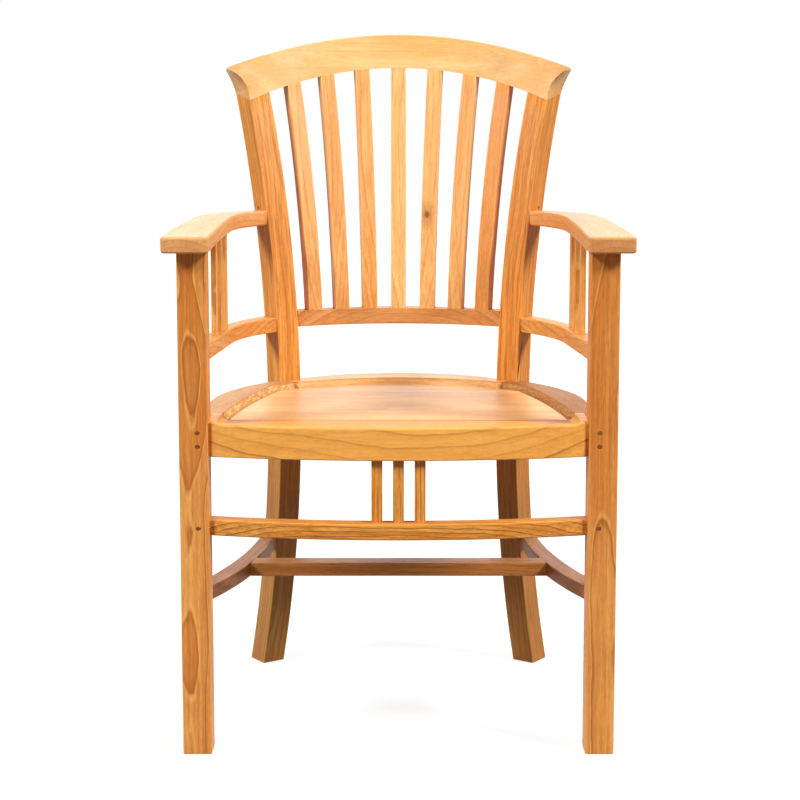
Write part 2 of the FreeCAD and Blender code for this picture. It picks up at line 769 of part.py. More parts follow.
def dish_half_width_at(line):
    """Half the width of the dish's rim at a line across the seat."""
    dx = f"(({DISH_CORNER[0]}) - ({DISH_FRONT[0]}))"
    dy = f"(({DISH_CORNER[1]}) - ({DISH_FRONT[1]}))"
    chord = f"sqrt({dx} ^ 2 + {dy} ^ 2)"
    rise = f"sqrt({DISH_SIDE_RADIUS} ^ 2 - {chord} ^ 2 / 4)"
    middle_x = f"(({DISH_FRONT[0]}) + {dx} / 2 + {rise} * {dy} / {chord})"
    middle_y = f"(({DISH_FRONT[1]}) + {dy} / 2 - {rise} * {dx} / {chord})"
    return f"(sqrt({DISH_SIDE_RADIUS} ^ 2 - ({line} - {middle_y}) ^ 2) - {middle_x})"


def apron_scoop():
    """Lets the top of the front rail fall smoothly from its front edge into the dish."""
    body = new_body("ApronScoop")
    rear_rim = dish_half_width_at("apron_back_line")
    rear_floor = f"({rear_rim} - dish_depth)"
    front_floor = "(dish_half_width - dish_depth)"
    edge = "seat_top - apron_scoop_edge"
    above = "seat_top + cut_overrun"
    sag = bow_radius((f"-{front_floor}", edge), (front_floor, edge),
                     "(apron_scoop - apron_scoop_edge)")
    rear = [(f"-{rear_rim}", "seat_top", "dish_depth", 1), (f"-{rear_floor}", "dish_floor"),
            (rear_floor, "dish_floor", "dish_depth", 1), (rear_rim, "seat_top"),
            (rear_rim, above), (f"-{rear_rim}", above)]
    front = [("-dish_half_width", "seat_top"), (f"-{front_floor}", edge, sag, 1),
             (front_floor, edge), ("dish_half_width", "seat_top"),
             ("dish_half_width", above), ("-dish_half_width", above)]
    sections = [outline(body, "XZ_Plane", rear, "-apron_back_line"),
                outline(body, "XZ_Plane", front, "-(leg_front - apron_bow)")]
    loft = body.newObject("PartDesign::AdditiveLoft", "ScoopLoft")
    loft.Profile = sections[0]
    loft.Sections = sections[1:]
    loft.Ruled = True
    return body


def dish_cutter():
    """The hollow of the seat: a flat floor with a quarter-round cove up to its rim."""
    body = new_body("DishCutter")
    sketch = outline(body, "XY_Plane", DISH_OUTLINE, "dish_floor")
    solid = pad(body, sketch, "dish_depth + cut_overrun")
    DOC.recompute()
    back_line = measure(DISH_CORNER[1])
    corners = [f"Edge{index}" for index, edge in enumerate(solid.Shape.Edges, start=1)
               if edge.BoundBox.ZLength > measure("dish_depth")
               and edge.BoundBox.YMax > back_line - measure("cut_overrun")]
    rounded = body.newObject("PartDesign::Fillet", "DishCorners")
    rounded.Base = (solid, corners)
    rounded.setExpression("Radius", bound("dish_corner_radius"))
    DOC.recompute()
    floor, front, slack = (measure(name) for name in ("dish_floor", "leg_front", "board_gap"))
    rim = [f"Edge{index}" for index, edge in enumerate(rounded.Shape.Edges, start=1)
           if abs(edge.BoundBox.ZMax - floor) < slack and edge.BoundBox.YMax > front + slack]
    cove = body.newObject("PartDesign::Fillet", "DishCove")
    cove.Base = (rounded, rim)
    cove.setExpression("Radius", bound("dish_depth"))
    return body


def panel_prism(name, outline_sketch, inset, up, down="0"):
    """A block with the dish's outline drawn in by inset, up and down from the ledge."""
    inner = DOC.addObject("Part::Offset2D", name + "Outline")
    inner.Source = outline_sketch
    inner.Join = "Intersection"
    inner.setExpression("Value", bound(f"-({inset})"))
    prism = DOC.addObject("Part::Extrusion", name)
    prism.Base = inner
    prism.DirMode = "Custom"
    prism.Dir = Vector(0, 0, 1)
    prism.Solid = True
    prism.setExpression("LengthFwd", bound(up))
    prism.setExpression("LengthRev", bound(down))
    return prism


def seat_outline():
    """Plan corners of the outside of the seat frame behind the front legs."""
    start = ("-seat_half_width", "leg_back")
    knee = ("-seat_half_width", "leg_front + seat_knee_setback")
    outer, inner = (beside_post("(seat_post_reach + seat_post_cover)", side) for side in (1, -1))
    side_radius = turn_radius(start, knee, outer)
    back_radius = bow_radius(inner, mirrored_corner(inner), "seat_back_bow")
    return [start, (*knee, side_radius, -1), outer, (*inner, back_radius, -1),
            mirrored_corner(inner), (*mirrored_corner(outer), side_radius, -1),
            mirrored_corner(knee), mirrored_corner(start)]


def seat():
    """The seat's rails, boards and batten.

    Returns the front rail, whose last joints are cut later, and the mortises for the legs
    and posts.
    """
    apron = apron_blank()
    apron_to_leg = leg_joint("ApronLeg", "leg_middle", "apron_middle", "apron_tenon_width",
                             "apron_tenon_height", "apron_tenon_length")
    side_to_leg = leg_back_joint("SideLeg", "-(seat_half_width + leg_inner) / 2",
                                 "seat_middle", "seat_tenon_width", "seat_tenon_height",
                                 "seat_tenon_length")
    side_to_post = post_joint("SidePost", 1, "(seat_post_reach + seat_tenon_width)",
                              "seat_middle", "seat_tenon_width", "seat_tenon_height",
                              "seat_tenon_length")
    back_to_post = post_joint("BackPost", -1, "(seat_post_reach + seat_tenon_width)",
                              "seat_middle", "seat_tenon_width", "seat_tenon_height",
                              "seat_tenon_length")
    rim = DOC.addObject("Sketcher::SketchObject", "DishRim")
    rim.setExpression("Placement.Base.z", bound("board_bottom"))
    draw(rim, DISH_OUTLINE)
    pocket_shape = panel_prism("BoardPocket", rim, "dish_depth", "seat_rail_height")
    void = panel_prism("SeatVoid", rim, "dish_depth + ledge_width",
                       "board_thickness", "seat_rail_height")
    boards = panel_prism("Boards", rim, "dish_depth + board_gap", "board_thickness")
    frame = cut("SeatFrame",
                plank("SeatFrame", seat_outline(), "seat_bottom", "seat_rail_height"),
                dish_cutter(), pocket_shape, void, apron, POST, mirror(POST))
    far = "2 * cut_reach"
    beyond = block("BeyondMitre", (f"-{far}", f"-{far}", "-cut_overrun"), ("0", far, far),
                   turn="post_angle", along="axis_setback")
    side = common("SideRail", frame, beyond)
    back = cut("BackSeatRail", frame, beyond, mirror(beyond))
    back_rail = fuse("BackSeatRail", back, back_to_post[0], mirror(back_to_post[0]))
    front_rail = fuse("Apron", cut("Apron", apron, apron_scoop()),
                      apron_to_leg[0], mirror(apron_to_leg[0]))
    keep_pair("seat_side_rail", fuse("SideRail", side, side_to_leg[0], side_to_post[0]))
    keep("seat_back_rail", back_rail)
    run = "(dish_back_line - apron_back_line)"
    last = len(BOARD_SEAM_SHARES) - 1
    for number in range(1, last + 1):
        near, away = BOARD_SEAM_SHARES[number - 1:number + 1]
        start = f"apron_back_line + {run} * {near}" + (" + board_gap" if number > 1 else "")
        end = f"apron_back_line + {run} * {away}" + (" + board_gap" if number == last else "")
        slot = block(f"BoardSlot{number}", ("-cut_reach", start, "board_bottom - cut_overrun"),
                     ("cut_reach", end, "seat_top"))
        keep(f"seat_board_{number}", common(f"Board{number}", boards, slot))
    batten = block("Batten", ("-batten_width / 2", "apron_back_line", "seat_bottom"),
                   ("batten_width / 2", "dish_back_line", "board_bottom"))
    keep("seat_batten", cut("Batten", batten, back))
    return front_rail, apron_to_leg[1], side_to_leg[1], side_to_post[1], back_to_post[1]


FRONT_RAIL, APRON_MORTISE, SIDE_LEG_MORTISE, SIDE_POST_MORTISE, BACK_POST_MORTISE = seat()

# Front stretcher, with three spindles up to the front seat rail.
STRETCHER_TO_LEG = leg_joint("StretcherLeg", "leg_middle", "stretcher_middle",
                             "apron_tenon_width", "stretcher_tenon_height",
                             "stretcher_tenon_length")


def front_spindles():
    """Three spindles in the middle of the front, and their mortises."""
    along = "(stretcher_front_line - stretcher_bow + stretcher_depth / 2)"
    mortises = []
    for number in range(1, SPINDLES + 1):
        across = f"({number - (SPINDLES + 1) / 2} * front_spindle_pitch)"
        blank = block(f"FrontSpindle{number}", *upright(
            across, along, "stretcher_top", "apron_bottom",
            "front_spindle_width", "front_spindle_depth"))
        core, mortise = joint(f"FrontSpindle{number}", *upright(
            across, along, "stretcher_top - spindle_tenon_length",
            "apron_bottom + spindle_tenon_length",
            "(front_spindle_width - 2 * spindle_shoulder)",
            "(front_spindle_depth - 2 * spindle_shoulder)"))
        keep(f"front_spindle_{number}", fuse(f"FrontSpindle{number}", blank, core))
        mortises.append(mortise)
    return mortises


FRONT_SPINDLE_MORTISES = front_spindles()
FRONT_STRETCHER = fuse(
    "Stretcher", bowed_bar("Stretcher", "stretcher_front_line", "stretcher_depth",
                           "stretcher_bow", "stretcher_bottom", "stretcher_height"),
    STRETCHER_TO_LEG[0], mirror(STRETCHER_TO_LEG[0]))


# Side stretchers from the legs to the posts, joined by a straight cross stretcher.
def side_stretcher_blank():
    """The left side stretcher before its joints, bowed inwards."""
    inner = ("-(leg_spacing - side_stretcher_width) / 2", "leg_back")
    outer = ("-(leg_spacing + side_stretcher_width) / 2", "leg_back")
    inner_end, outer_end = (post_corner("side_stretcher_middle", side) for side in (-1, 1))
    corners = [(*inner, bow_radius(inner, inner_end, "side_stretcher_bow"), 1), inner_end,
               (*outer_end, bow_radius(outer, outer_end, "side_stretcher_bow"), -1), outer]
    return plank("SideStretcher", corners, "side_stretcher_bottom", "side_stretcher_height")


SIDE_STRETCHER = side_stretcher_blank()
SIDE_STRETCHER_TENON = ("side_stretcher_tenon_width", "side_stretcher_tenon_height",
                        "side_stretcher_tenon_length")
SIDE_STRETCHER_TO_LEG = leg_back_joint("SideStretcherLeg", "-leg_spacing / 2",
                                       "side_stretcher_middle", *SIDE_STRETCHER_TENON)
SIDE_STRETCHER_TO_POST = post_joint("SideStretcherPost", 1, reach("side_stretcher_middle"),
                                    "side_stretcher_middle", *SIDE_STRETCHER_TENON)
CROSS_REACH = (f"((leg_spacing / 2 - ({beside_post(reach('side_stretcher_middle'), 1)[0]})) / 2"
               " - side_stretcher_bow)")
CROSS_TIP = f"({CROSS_REACH} + cross_tenon_reach)"
CROSS_MIDDLE = "(cross_front_line + cross_stretcher_depth / 2)"
CROSS_TENON, CROSS_MORTISE = joint("Cross", *tenon_box(
    "0", CROSS_MIDDLE, "side_stretcher_middle", "cross_tenon_width", "cross_tenon_height",
    f"-{CROSS_TIP}", CROSS_TIP))
CROSS_BLANK = block("CrossStretcher",
                    (f"-{CROSS_REACH}", "cross_front_line", "side_stretcher_bottom"),
                    (CROSS_REACH, "cross_front_line + cross_stretcher_depth",
                     "side_stretcher_top"))
keep("cross_stretcher", fuse("CrossStretcher",
                             cut("CrossStretcher", CROSS_BLANK, SIDE_STRETCHER,
                                 mirror(SIDE_STRETCHER)), CROSS_TENON))
keep_pair("side_stretcher", cut("SideStretcher", fuse(
    "SideStretcher", SIDE_STRETCHER, SIDE_STRETCHER_TO_LEG[0], SIDE_STRETCHER_TO_POST[0]),
    CROSS_MORTISE))


def peg(name, up, radius, depth):
    """A peg whittled with narrow flats, driven into the front of the left leg."""
    pin = DOC.addObject("Part::Prism", name)
    pin.Placement = Placement(Vector(), Rotation(Vector(1, 0, 0), -90))
    pin.Polygon = PEG_FLATS
    pin.setExpression("Circumradius", bound(radius))
    pin.setExpression("Height", bound(f"{depth} + peg_proud"))
    pin.setExpression("Placement.Base.x", bound("-leg_inner - peg_inset"))
    pin.setExpression("Placement.Base.y", bound("leg_front - peg_proud"))
    pin.setExpression("Placement.Base.z", bound(up))
    return pin


def leg_pegs():
    """Pegs through the apron and stretcher tenons, and the holes that take them."""
    heights = ["apron_middle + apron_peg_spacing / 2", "apron_middle - apron_peg_spacing / 2",
               "stretcher_middle"]
    pins = [peg(f"Peg{index}", up, "peg_radius", "peg_length")
            for index, up in enumerate(heights, start=1)]
    holes = [peg(f"PegHole{index}", up, "(peg_radius + joint_clearance)",
                 "(peg_length + joint_clearance)")
             for index, up in enumerate(heights, start=1)]
    return pins, holes


PEGS, PEG_HOLES = leg_pegs()
keep("front_leg_pegs", group("Pegs", *PEGS, *[mirror(pin) for pin in PEGS]))
for node, bar in (("seat_front_rail", FRONT_RAIL), ("front_stretcher", FRONT_STRETCHER)):
    keep(node, cut(bar.Name + "Joints", bar, *FRONT_SPINDLE_MORTISES, *PEG_HOLES,
                   *[mirror(hole) for hole in PEG_HOLES]))

LEG_BLANK = block("LegBlank", ("-leg_outer", "leg_front", "0"),
                  ("-leg_inner", "leg_back", "arm_front_height + leg_tenon_length"))
keep_pair("front_leg", cut("Leg", fuse("Leg", cut("LegTop", LEG_BLANK, ARM), LEG_TO_ARM[0]),
                           ARM_RAIL_TO_LEG[1], APRON_MORTISE, SIDE_LEG_MORTISE,
                           STRETCHER_TO_LEG[1], SIDE_STRETCHER_TO_LEG[1], *PEG_HOLES))
keep_pair("back_post", cut("PostJoints",
                           fuse("Post", cut("PostTop", POST, SEAM_ABOVE), POST_TO_CREST[0]),
                           ARM_TO_POST[1], ARM_RAIL_TO_POST[1], BACK_RAIL_TO_POST[1],
                           SIDE_POST_MORTISE, BACK_POST_MORTISE, SIDE_STRETCHER_TO_POST[1]))


def export():
    """Checks every object and writes each finished piece to its own file."""
    DOC.recompute()
    for thing in DOC.Objects:
        if "Invalid" in thing.State or "Error" in thing.State:
            raise RuntimeError(f"{thing.Name} did not build: {thing.State}")
    os.makedirs("parts", exist_ok=True)
    for node, piece in sorted(NODES.items()):
        shape = piece.Shape
        if shape.isNull() or not shape.isValid() or not shape.Solids:
            raise RuntimeError(f"{node} has no valid solid")
        shape.exportStep(f"parts/{node}.step")
        print(f"{node}: {len(shape.Solids)} solid, {shape.Volume / 1000:.1f} cm3")


export()
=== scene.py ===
"""The look of an open wooden armchair with a fan of back slats, a flared crest and a scooped seat.

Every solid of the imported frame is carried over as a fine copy: its facets are merged, its free
arrises are rounded, and it is given teak that was sawn along its own length.
"""

import logging
import random
from collections.abc import Iterable, Sequence
from dataclasses import dataclass, field
from enum import Enum
from math import cos, pi, radians, sin

import bmesh
import bpy
from mathutils import Euler, Matrix, Vector
from mathutils.bvhtree import BVHTree


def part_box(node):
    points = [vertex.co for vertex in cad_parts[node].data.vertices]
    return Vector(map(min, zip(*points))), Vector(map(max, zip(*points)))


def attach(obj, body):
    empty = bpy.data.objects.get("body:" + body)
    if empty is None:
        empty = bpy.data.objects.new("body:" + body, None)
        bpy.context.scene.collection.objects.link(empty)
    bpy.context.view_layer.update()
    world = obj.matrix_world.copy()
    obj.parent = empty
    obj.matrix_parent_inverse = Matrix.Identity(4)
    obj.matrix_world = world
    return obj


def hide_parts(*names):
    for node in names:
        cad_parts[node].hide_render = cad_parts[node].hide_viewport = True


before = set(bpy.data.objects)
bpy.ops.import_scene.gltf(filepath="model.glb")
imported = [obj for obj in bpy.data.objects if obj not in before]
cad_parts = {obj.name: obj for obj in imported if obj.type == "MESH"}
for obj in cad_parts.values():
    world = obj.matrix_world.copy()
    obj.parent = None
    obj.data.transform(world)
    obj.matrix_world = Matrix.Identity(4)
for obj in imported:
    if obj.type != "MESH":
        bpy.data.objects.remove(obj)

LOG = logging.getLogger("armchair")
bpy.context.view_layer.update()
BODY = "root"

Colour = tuple[int, int, int]
Direction = tuple[float, float, float]
Socket = bpy.types.NodeSocket
Stops = Iterable[tuple[float, float]]

LENGTHWISE: Direction = (1.0, 0.0, 0.0)
LEFTWARD: Direction = (-1.0, 0.0, 0.0)
DEPTHWISE: Direction = (0.0, 1.0, 0.0)
UPWARD: Direction = (0.0, 0.0, 1.0)
DOWNWARD: Direction = (0.0, 0.0, -1.0)
FORWARD: Direction = (0.0, -1.0, 0.0)

# Where each mark of the wood begins and is full, as pairs of place and level.
LATE_WOOD_STOPS: Stops = ((0.0, 0.5), (0.06, 0.05), (0.5, 0.0), (0.84, 0.3), (0.95, 1.0))
RING_EDGE_STOPS: Stops = ((0.0, 0.0), (0.06, 1.0), (0.14, 0.0))
CLOUD_STOPS: Stops = ((0.34, 0.0), (0.66, 1.0))
STREAK_STOPS: Stops = ((0.38, 0.0), (0.66, 1.0))
DASH_STOPS: Stops = ((0.5, 0.0), (0.66, 1.0))
PORE_STOPS: Stops = ((0.58, 0.0), (0.68, 1.0))
KNOT_STOPS: Stops = ((0.15, 0.0), (0.5, 0.2), (0.8, 0.4), (0.88, 0.9))
BRIGHT_FLECK_STOPS: Stops = ((0.5, 0.0), (0.6, 1.0))
DEEP_FLECK_STOPS: Stops = ((0.36, 1.0), (0.47, 0.0))

# Colours that every board shares where it is cut open, and the painted shade on the lower back
# posts.
PAINTED_FOOT_SHADE_COLOUR: Colour = (120, 80, 44)
OPEN_COLOUR: Colour = (226, 160, 88)
BRIGHT_FLECK_COLOUR: Colour = (254, 214, 148)
DEEP_FLECK_COLOUR: Colour = (180, 114, 56)

# What the dark or pale colour of a finish is multiplied by in each mark.
PORE_LIFT = 0.6
END_LIFT = 1.1
# The arris lift and share below are partly wear and partly a painted highlight on rounded edges.
ARRIS_WEAR_HIGHLIGHT_LIFT = 1.05
RING_EDGE_LIFT = 1.12
STREAK_LIFT = 1.25
KNOT_LIFT = 0.5

# How much of each mark's colour shows where the mark is full.
END_SHARE = 0.5
ARRIS_WEAR_HIGHLIGHT_SHARE = 0.22
TONE_SHARE = 0.6
OPEN_SHARE = 0.6
BRIGHT_FLECK_SHARE = 0.75
DEEP_FLECK_SHARE = 0.4

# Growth rings: how far noise carries them, a knot pushes them, and how unlike they are.
NOISE_REACH = 4.0
KNOT_SWELL = 0.03
LATE_WOOD_LEAST = 0.35
LATE_WOOD_SPREAD = 0.8
RING_TONE_SEED = 0.37

# The surface: how the roughness and the height answer to each mark.
SHEEN_SPREAD = 0.14
LATE_WOOD_SHEEN = -0.06
PORE_SHEEN = 0.2
LATE_WOOD_PORES = 0.6
LATE_WOOD_RISE = 0.35
RIPPLE_RISE = 0.5
PORE_RISE = -0.8
BUMP_DEPTH = 0.0006
SPECULAR_LEVEL = 0.2

# Cosines: when an edge runs along a way, when a face looks a way, and when it shows end grain.
RUNS_ALONG = 0.8
LOOKS_ALONG = 0.5
END_STARTS = 0.6
END_FULL = 0.92

# How boards differ from each other by chance.
TILT_RANGE = (0.7, 1.3)
SWAY_RANGE = (-0.5, 0.5)
PITH_RANGE = (0.75, 1.3)
LOG_RANGE = (-40, 40)
TONE_RANGE = (0.1, 0.9)


class Side(Enum):
    """The two hands of the chair, as the CAD nodes name them."""

    LEFT = "left"
    RIGHT = "right"

    @property
    def sign(self) -> float:
        """Which way this hand lies along X."""
        return -1.0 if self is Side.LEFT else 1.0


class Sawing(Enum):
    """How a board was sawn: the pith's shares to the side of the board and under its wide face."""

    FLAT = (0.12, 1.0)
    RIFT = (0.75, 0.7)
    QUARTER = (1.0, 0.06)


class Mark(Enum):
    """A mark of the wood: how often it repeats in a metre along and across, and its detail."""

    WANDER = (4.5, 12.0, 1.0)
    WAVE = (24.0, 55.0, 2.0)
    CLOUD = (3.0, 30.0, 2.0)
    STREAK = (4.0, 240.0, 2.0)
    DASH = (16.0, 400.0, 2.0)
    SPECKLE = (85.0, 480.0, 2.0)
    FLECK = (95.0, 260.0, 3.0)
    PORE = (80.0, 1300.0, 1.0)
    SHEEN = (14.0, 40.0, 2.0)
    RIPPLE = (20.0, 900.0, 2.0)


def linear(colour: Colour, lift: float = 1.0) -> tuple[float, float, float, float]:
    """Turns a colour as seen on a screen into the linear one that a shader takes.

    Args:
        colour: Red, green and blue from 0 to 255.
        lift: What the linear colour is multiplied by.

    Returns:
        The linear colour with an alpha of one.
    """
    channels = []
    for value in colour:
        share = value / 255.0
        channels.append(share / 12.92 if share <= 0.04045 else ((share + 0.055) / 1.055) ** 2.4)
    red, green, blue = (min(channel * lift, 1.0) for channel in channels)
    return (red, green, blue, 1.0)


class Wiring:
    """A node tree that is put together one linked node at a time."""

    def __init__(self, tree: bpy.types.NodeTree) -> None:
        """Takes the tree that the nodes go into."""
        self.tree = tree

    def node(self, kind: str, settings: dict | None = None, **inputs: object) -> bpy.types.Node:
        """Adds a node, sets it up and links or fills its inputs.

        Args:
            kind: The node's type name without its ShaderNode start.
            settings: Values for the node's own properties.
            **inputs: What goes into each input, an output socket or a plain value. A name is the
                input's label with spaces as underscores, or in_NUMBER where labels repeat.

        Returns:
            The new node.
        """
        made = self.tree.nodes.new("ShaderNode" + kind)
        for name, value in (settings or {}).items():
            setattr(made, name, value)
        for name, value in inputs.items():
            self.feed(made, name, value)
        return made

    def feed(self, made: bpy.types.Node, name: str, value: object) -> None:
        """Links or fills one input of a node.

        Args:
            made: The node.
            name: The input's label with spaces as underscores, or in_NUMBER.
            value: An output socket or a plain value.
        """
        if name.startswith("in_"):
            socket = made.inputs[int(name[3:])]
        else:
            socket = made.inputs[name.replace("_", " ")]
        if isinstance(value, bpy.types.NodeSocket):
            self.tree.links.new(value, socket)
        else:
            socket.default_value = value

    def maths(
        self, operation: str, first: object, second: object = 0.0, third: object = 0.0
    ) -> Socket:
        """Adds a Math node and gives its result."""
        made = self.node("Math", {"operation": operation}, in_0=first, in_1=second, in_2=third)
        return made.outputs[0]

    def stretched(self, vector: Socket, scale: Direction) -> Socket:
        """Multiplies a vector by another, part by part."""
        made = self.node("VectorMath", {"operation": "MULTIPLY"}, in_0=vector, in_1=scale)
        return made.outputs[0]

    def noise(self, vector: Socket, scale: float, detail: float = 2.0) -> Socket:
        """Adds smooth noise and gives its value, about 0.5 on the whole."""
        made = self.node("TexNoise", None, Vector=vector, Scale=scale, Detail=detail)
        return made.outputs[0]

    def grain(self, place: Socket, mark: Mark) -> Socket:
        """Adds noise that is drawn out along the fibres as the mark is."""
        along, across, detail = mark.value
        return self.noise(self.stretched(place, (along, across, across)), 1.0, detail)

    def chance(self, value: Socket) -> Socket:
        """Adds a random level from 0 to 1 that is the same wherever the value is the same."""
        made = self.node("TexWhiteNoise", {"noise_dimensions": "1D"}, W=value)
        return made.outputs["Value"]

    def ramp(self, factor: Socket, stops: Stops) -> Socket:
        """Adds a ramp between grey levels.

        Args:
            factor: What is looked up in the ramp.
            stops: Pairs of place and level, in order.

        Returns:
            The level at the factor.
        """
        made = self.node("ValToRGB", None, in_0=factor)
        elements = made.color_ramp.elements
        for index, (place, level) in enumerate(stops):
            element = elements[index] if index < 2 else elements.new(place)
            element.position = place
            element.color = (level, level, level, 1.0)
        return made.outputs[0]

    def mix(self, factor: object, first: object, second: object) -> Socket:
        """Mixes two colours and gives the result."""
        made = self.node("Mix", {"data_type": "RGBA"}, in_0=factor, in_6=first, in_7=second)
        return made.outputs[2]


@dataclass(frozen=True)
class Teak:
    """One kind of teak: its colours, the scale and strength of its figure, and its sheen.

    Lengths are in metres and strengths run from 0 to 1.
    """

    name: str
    pale: Colour
    body: Colour
    dark: Colour
    ring_gap: float = 0.0065
    ring_line: float = 0.5
    ring_edge: float = 0.15
    ring_tone: float = 0.4
    wander: float = 0.003
    wave: float = 0.0004
    cloud: float = 0.4
    streak: float = 0.3
    dash: float = 0.3
    mottle: float = 0.3
    pore: float = 0.3
    roughness: float = 0.46
    bump: float = 0.16

    def figure(self) -> bpy.types.NodeTree:
        """Builds the shared group that turns a place in the log into colour, roughness and height.

        Returns:
            The node group, made once for each finish.
        """
        label = f"{self.name}_figure"
        if label in bpy.data.node_groups:
            return bpy.data.node_groups[label]
        tree = bpy.data.node_groups.new(label, "ShaderNodeTree")
        tree.interface.new_socket("Place", in_out="INPUT", socket_type="NodeSocketVector")
        for name in ("Arris", "Tone", "Knot", "Open", "End", "Butt"):
            tree.interface.new_socket(name, in_out="INPUT", socket_type="NodeSocketFloat")
        tree.interface.new_socket("Colour", in_out="OUTPUT", socket_type="NodeSocketColor")
        for name in ("Roughness", "Height"):
            tree.interface.new_socket(name, in_out="OUTPUT", socket_type="NodeSocketFloat")
        wiring = Wiring(tree)
        inner = tree.nodes.new("NodeGroupInput").outputs
        outer = tree.nodes.new("NodeGroupOutput").inputs
        place = inner["Place"]
        ring = self.ring_count(wiring, place, inner["Knot"])
        late = self.late_wood(wiring, ring)
        colour = self.ground(wiring, place, ring, inner["Tone"])
        colour = self.lines(wiring, ring, late, colour)
        colour = self.fibres(wiring, place, colour)
        colour = self.blemishes(wiring, place, inner["Knot"], inner["Open"], colour)
        pores = self.pores(wiring, place, late)
        sunk = wiring.maths("MULTIPLY", pores, self.pore)
        colour = wiring.mix(sunk, colour, linear(self.dark, PORE_LIFT))
        ends = wiring.maths("MULTIPLY", inner["End"], END_SHARE)
        colour = wiring.mix(ends, colour, linear(self.dark, END_LIFT))
        # Painted shade: the lower back posts darken towards the floor, where the seat shades them.
        colour = wiring.mix(inner["Butt"], colour, linear(PAINTED_FOOT_SHADE_COLOUR))
        # Rounded arrises are lightened: partly wear, partly a painted highlight along the edges.
        wear_and_highlight = wiring.maths("MULTIPLY", inner["Arris"], ARRIS_WEAR_HIGHLIGHT_SHARE)
        colour = wiring.mix(wear_and_highlight, colour, linear(self.pale, ARRIS_WEAR_HIGHLIGHT_LIFT))
        tree.links.new(colour, outer["Colour"])
        tree.links.new(self.sheen(wiring, place, late, pores), outer["Roughness"])
        tree.links.new(self.relief(wiring, place, late, pores), outer["Height"])
        return tree

    def ring_count(self, wiring: Wiring, place: Socket, knot: Socket) -> Socket:
        """Counts growth rings from the pith, with a trunk's slow wander and a swell at a knot.

        Args:
            wiring: The group being built.
            place: The place in the log, in metres.
            knot: How near the heart of a knot is, from 0 to 1.

        Returns:
            The number of rings between the pith and the place, with its fraction.
        """
        flat = wiring.stretched(place, (0.0, 1.0, 1.0))
        radial = wiring.node("VectorMath", {"operation": "LENGTH"}, in_0=flat).outputs["Value"]
        slow = wiring.grain(place, Mark.WANDER)
        short = wiring.grain(place, Mark.WAVE)
        distance = wiring.maths("MULTIPLY_ADD", slow, NOISE_REACH * self.wander, radial)
        distance = wiring.maths("MULTIPLY_ADD", short, NOISE_REACH * self.wave, distance)
        distance = wiring.maths("MULTIPLY_ADD", knot, KNOT_SWELL, distance)
        return wiring.maths("DIVIDE", distance, self.ring_gap)

    @staticmethod
    def late_wood(wiring: Wiring, ring: Socket) -> Socket:
        """Gives the dark late wood of each ring, which darkens slowly and ends at once.

        Args:
            wiring: The group being built.
            ring: The ring count at the place.

        Returns:
            How dark the late wood is, from 0 to a little over 1.
        """
        within = wiring.maths("FRACT", ring)
        line = wiring.ramp(within, LATE_WOOD_STOPS)
        uneven = wiring.chance(wiring.maths("FLOOR", ring))
        level = wiring.maths("MULTIPLY_ADD", uneven, LATE_WOOD_SPREAD, LATE_WOOD_LEAST)
        return wiring.maths("MULTIPLY", line, level)

    def ground(self, wiring: Wiring, place: Socket, ring: Socket, tone: Socket) -> Socket:
        """Gives the ground colour: clouds, each ring's own tone and the board's own tone.

        Args:
            wiring: The group being built.
            place: The place in the log, in metres.
            ring: The ring count at that place.
            tone: How dark this board is among its fellows, from 0 to 1.

        Returns:
            The ground colour.
        """
        clouds = wiring.ramp(wiring.grain(place, Mark.CLOUD), CLOUD_STOPS)
        own = wiring.chance(wiring.maths("ADD", wiring.maths("FLOOR", ring), RING_TONE_SEED))
        blend = wiring.maths("MULTIPLY", clouds, self.cloud)
        blend = wiring.maths("MULTIPLY_ADD", own, self.ring_tone, blend)
        blend = wiring.maths("MULTIPLY_ADD", tone, TONE_SHARE, blend)
        return wiring.mix(blend, linear(self.pale), linear(self.body))

    def lines(self, wiring: Wiring, ring: Socket, late: Socket, colour: Socket) -> Socket:
        """Lays the dark ring lines and the thin pale edge that follows each of them.

        Args:
            wiring: The group being built.
            ring: The ring count at the place.
            late: How dark the late wood is there.
            colour: The colour so far.

        Returns:
            The colour with its ring lines.
        """
        within = wiring.maths("FRACT", ring)
        edge = wiring.ramp(within, RING_EDGE_STOPS)
        late = wiring.maths("MULTIPLY", late, self.ring_line)
        colour = wiring.mix(late, colour, linear(self.dark))
        edge = wiring.maths("MULTIPLY", edge, self.ring_edge)
        return wiring.mix(edge, colour, linear(self.pale, RING_EDGE_LIFT))

    def fibres(self, wiring: Wiring, place: Socket, colour: Socket) -> Socket:
        """Lays long soft streaks, shorter dark dashes and a fine speckle along the grain.

        Args:
            wiring: The group being built.
            place: The place in the log, in metres.
            colour: The colour so far.

        Returns:
            The colour with its fibres.
        """
        streaks = wiring.ramp(wiring.grain(place, Mark.STREAK), STREAK_STOPS)
        dashes = wiring.ramp(wiring.grain(place, Mark.DASH), DASH_STOPS)
        speckle = wiring.grain(place, Mark.SPECKLE)
        streaks = wiring.maths("MULTIPLY", streaks, self.streak)
        colour = wiring.mix(streaks, colour, linear(self.dark, STREAK_LIFT))
        dashes = wiring.maths("MULTIPLY", dashes, self.dash)
        colour = wiring.mix(dashes, colour, linear(self.dark))
        level = wiring.maths("MULTIPLY_ADD", speckle, 2.0 * self.mottle, 1.0 - self.mottle)
        made = wiring.node("VectorMath", {"operation": "SCALE"}, in_0=colour, Scale=level)
        return made.outputs[0]

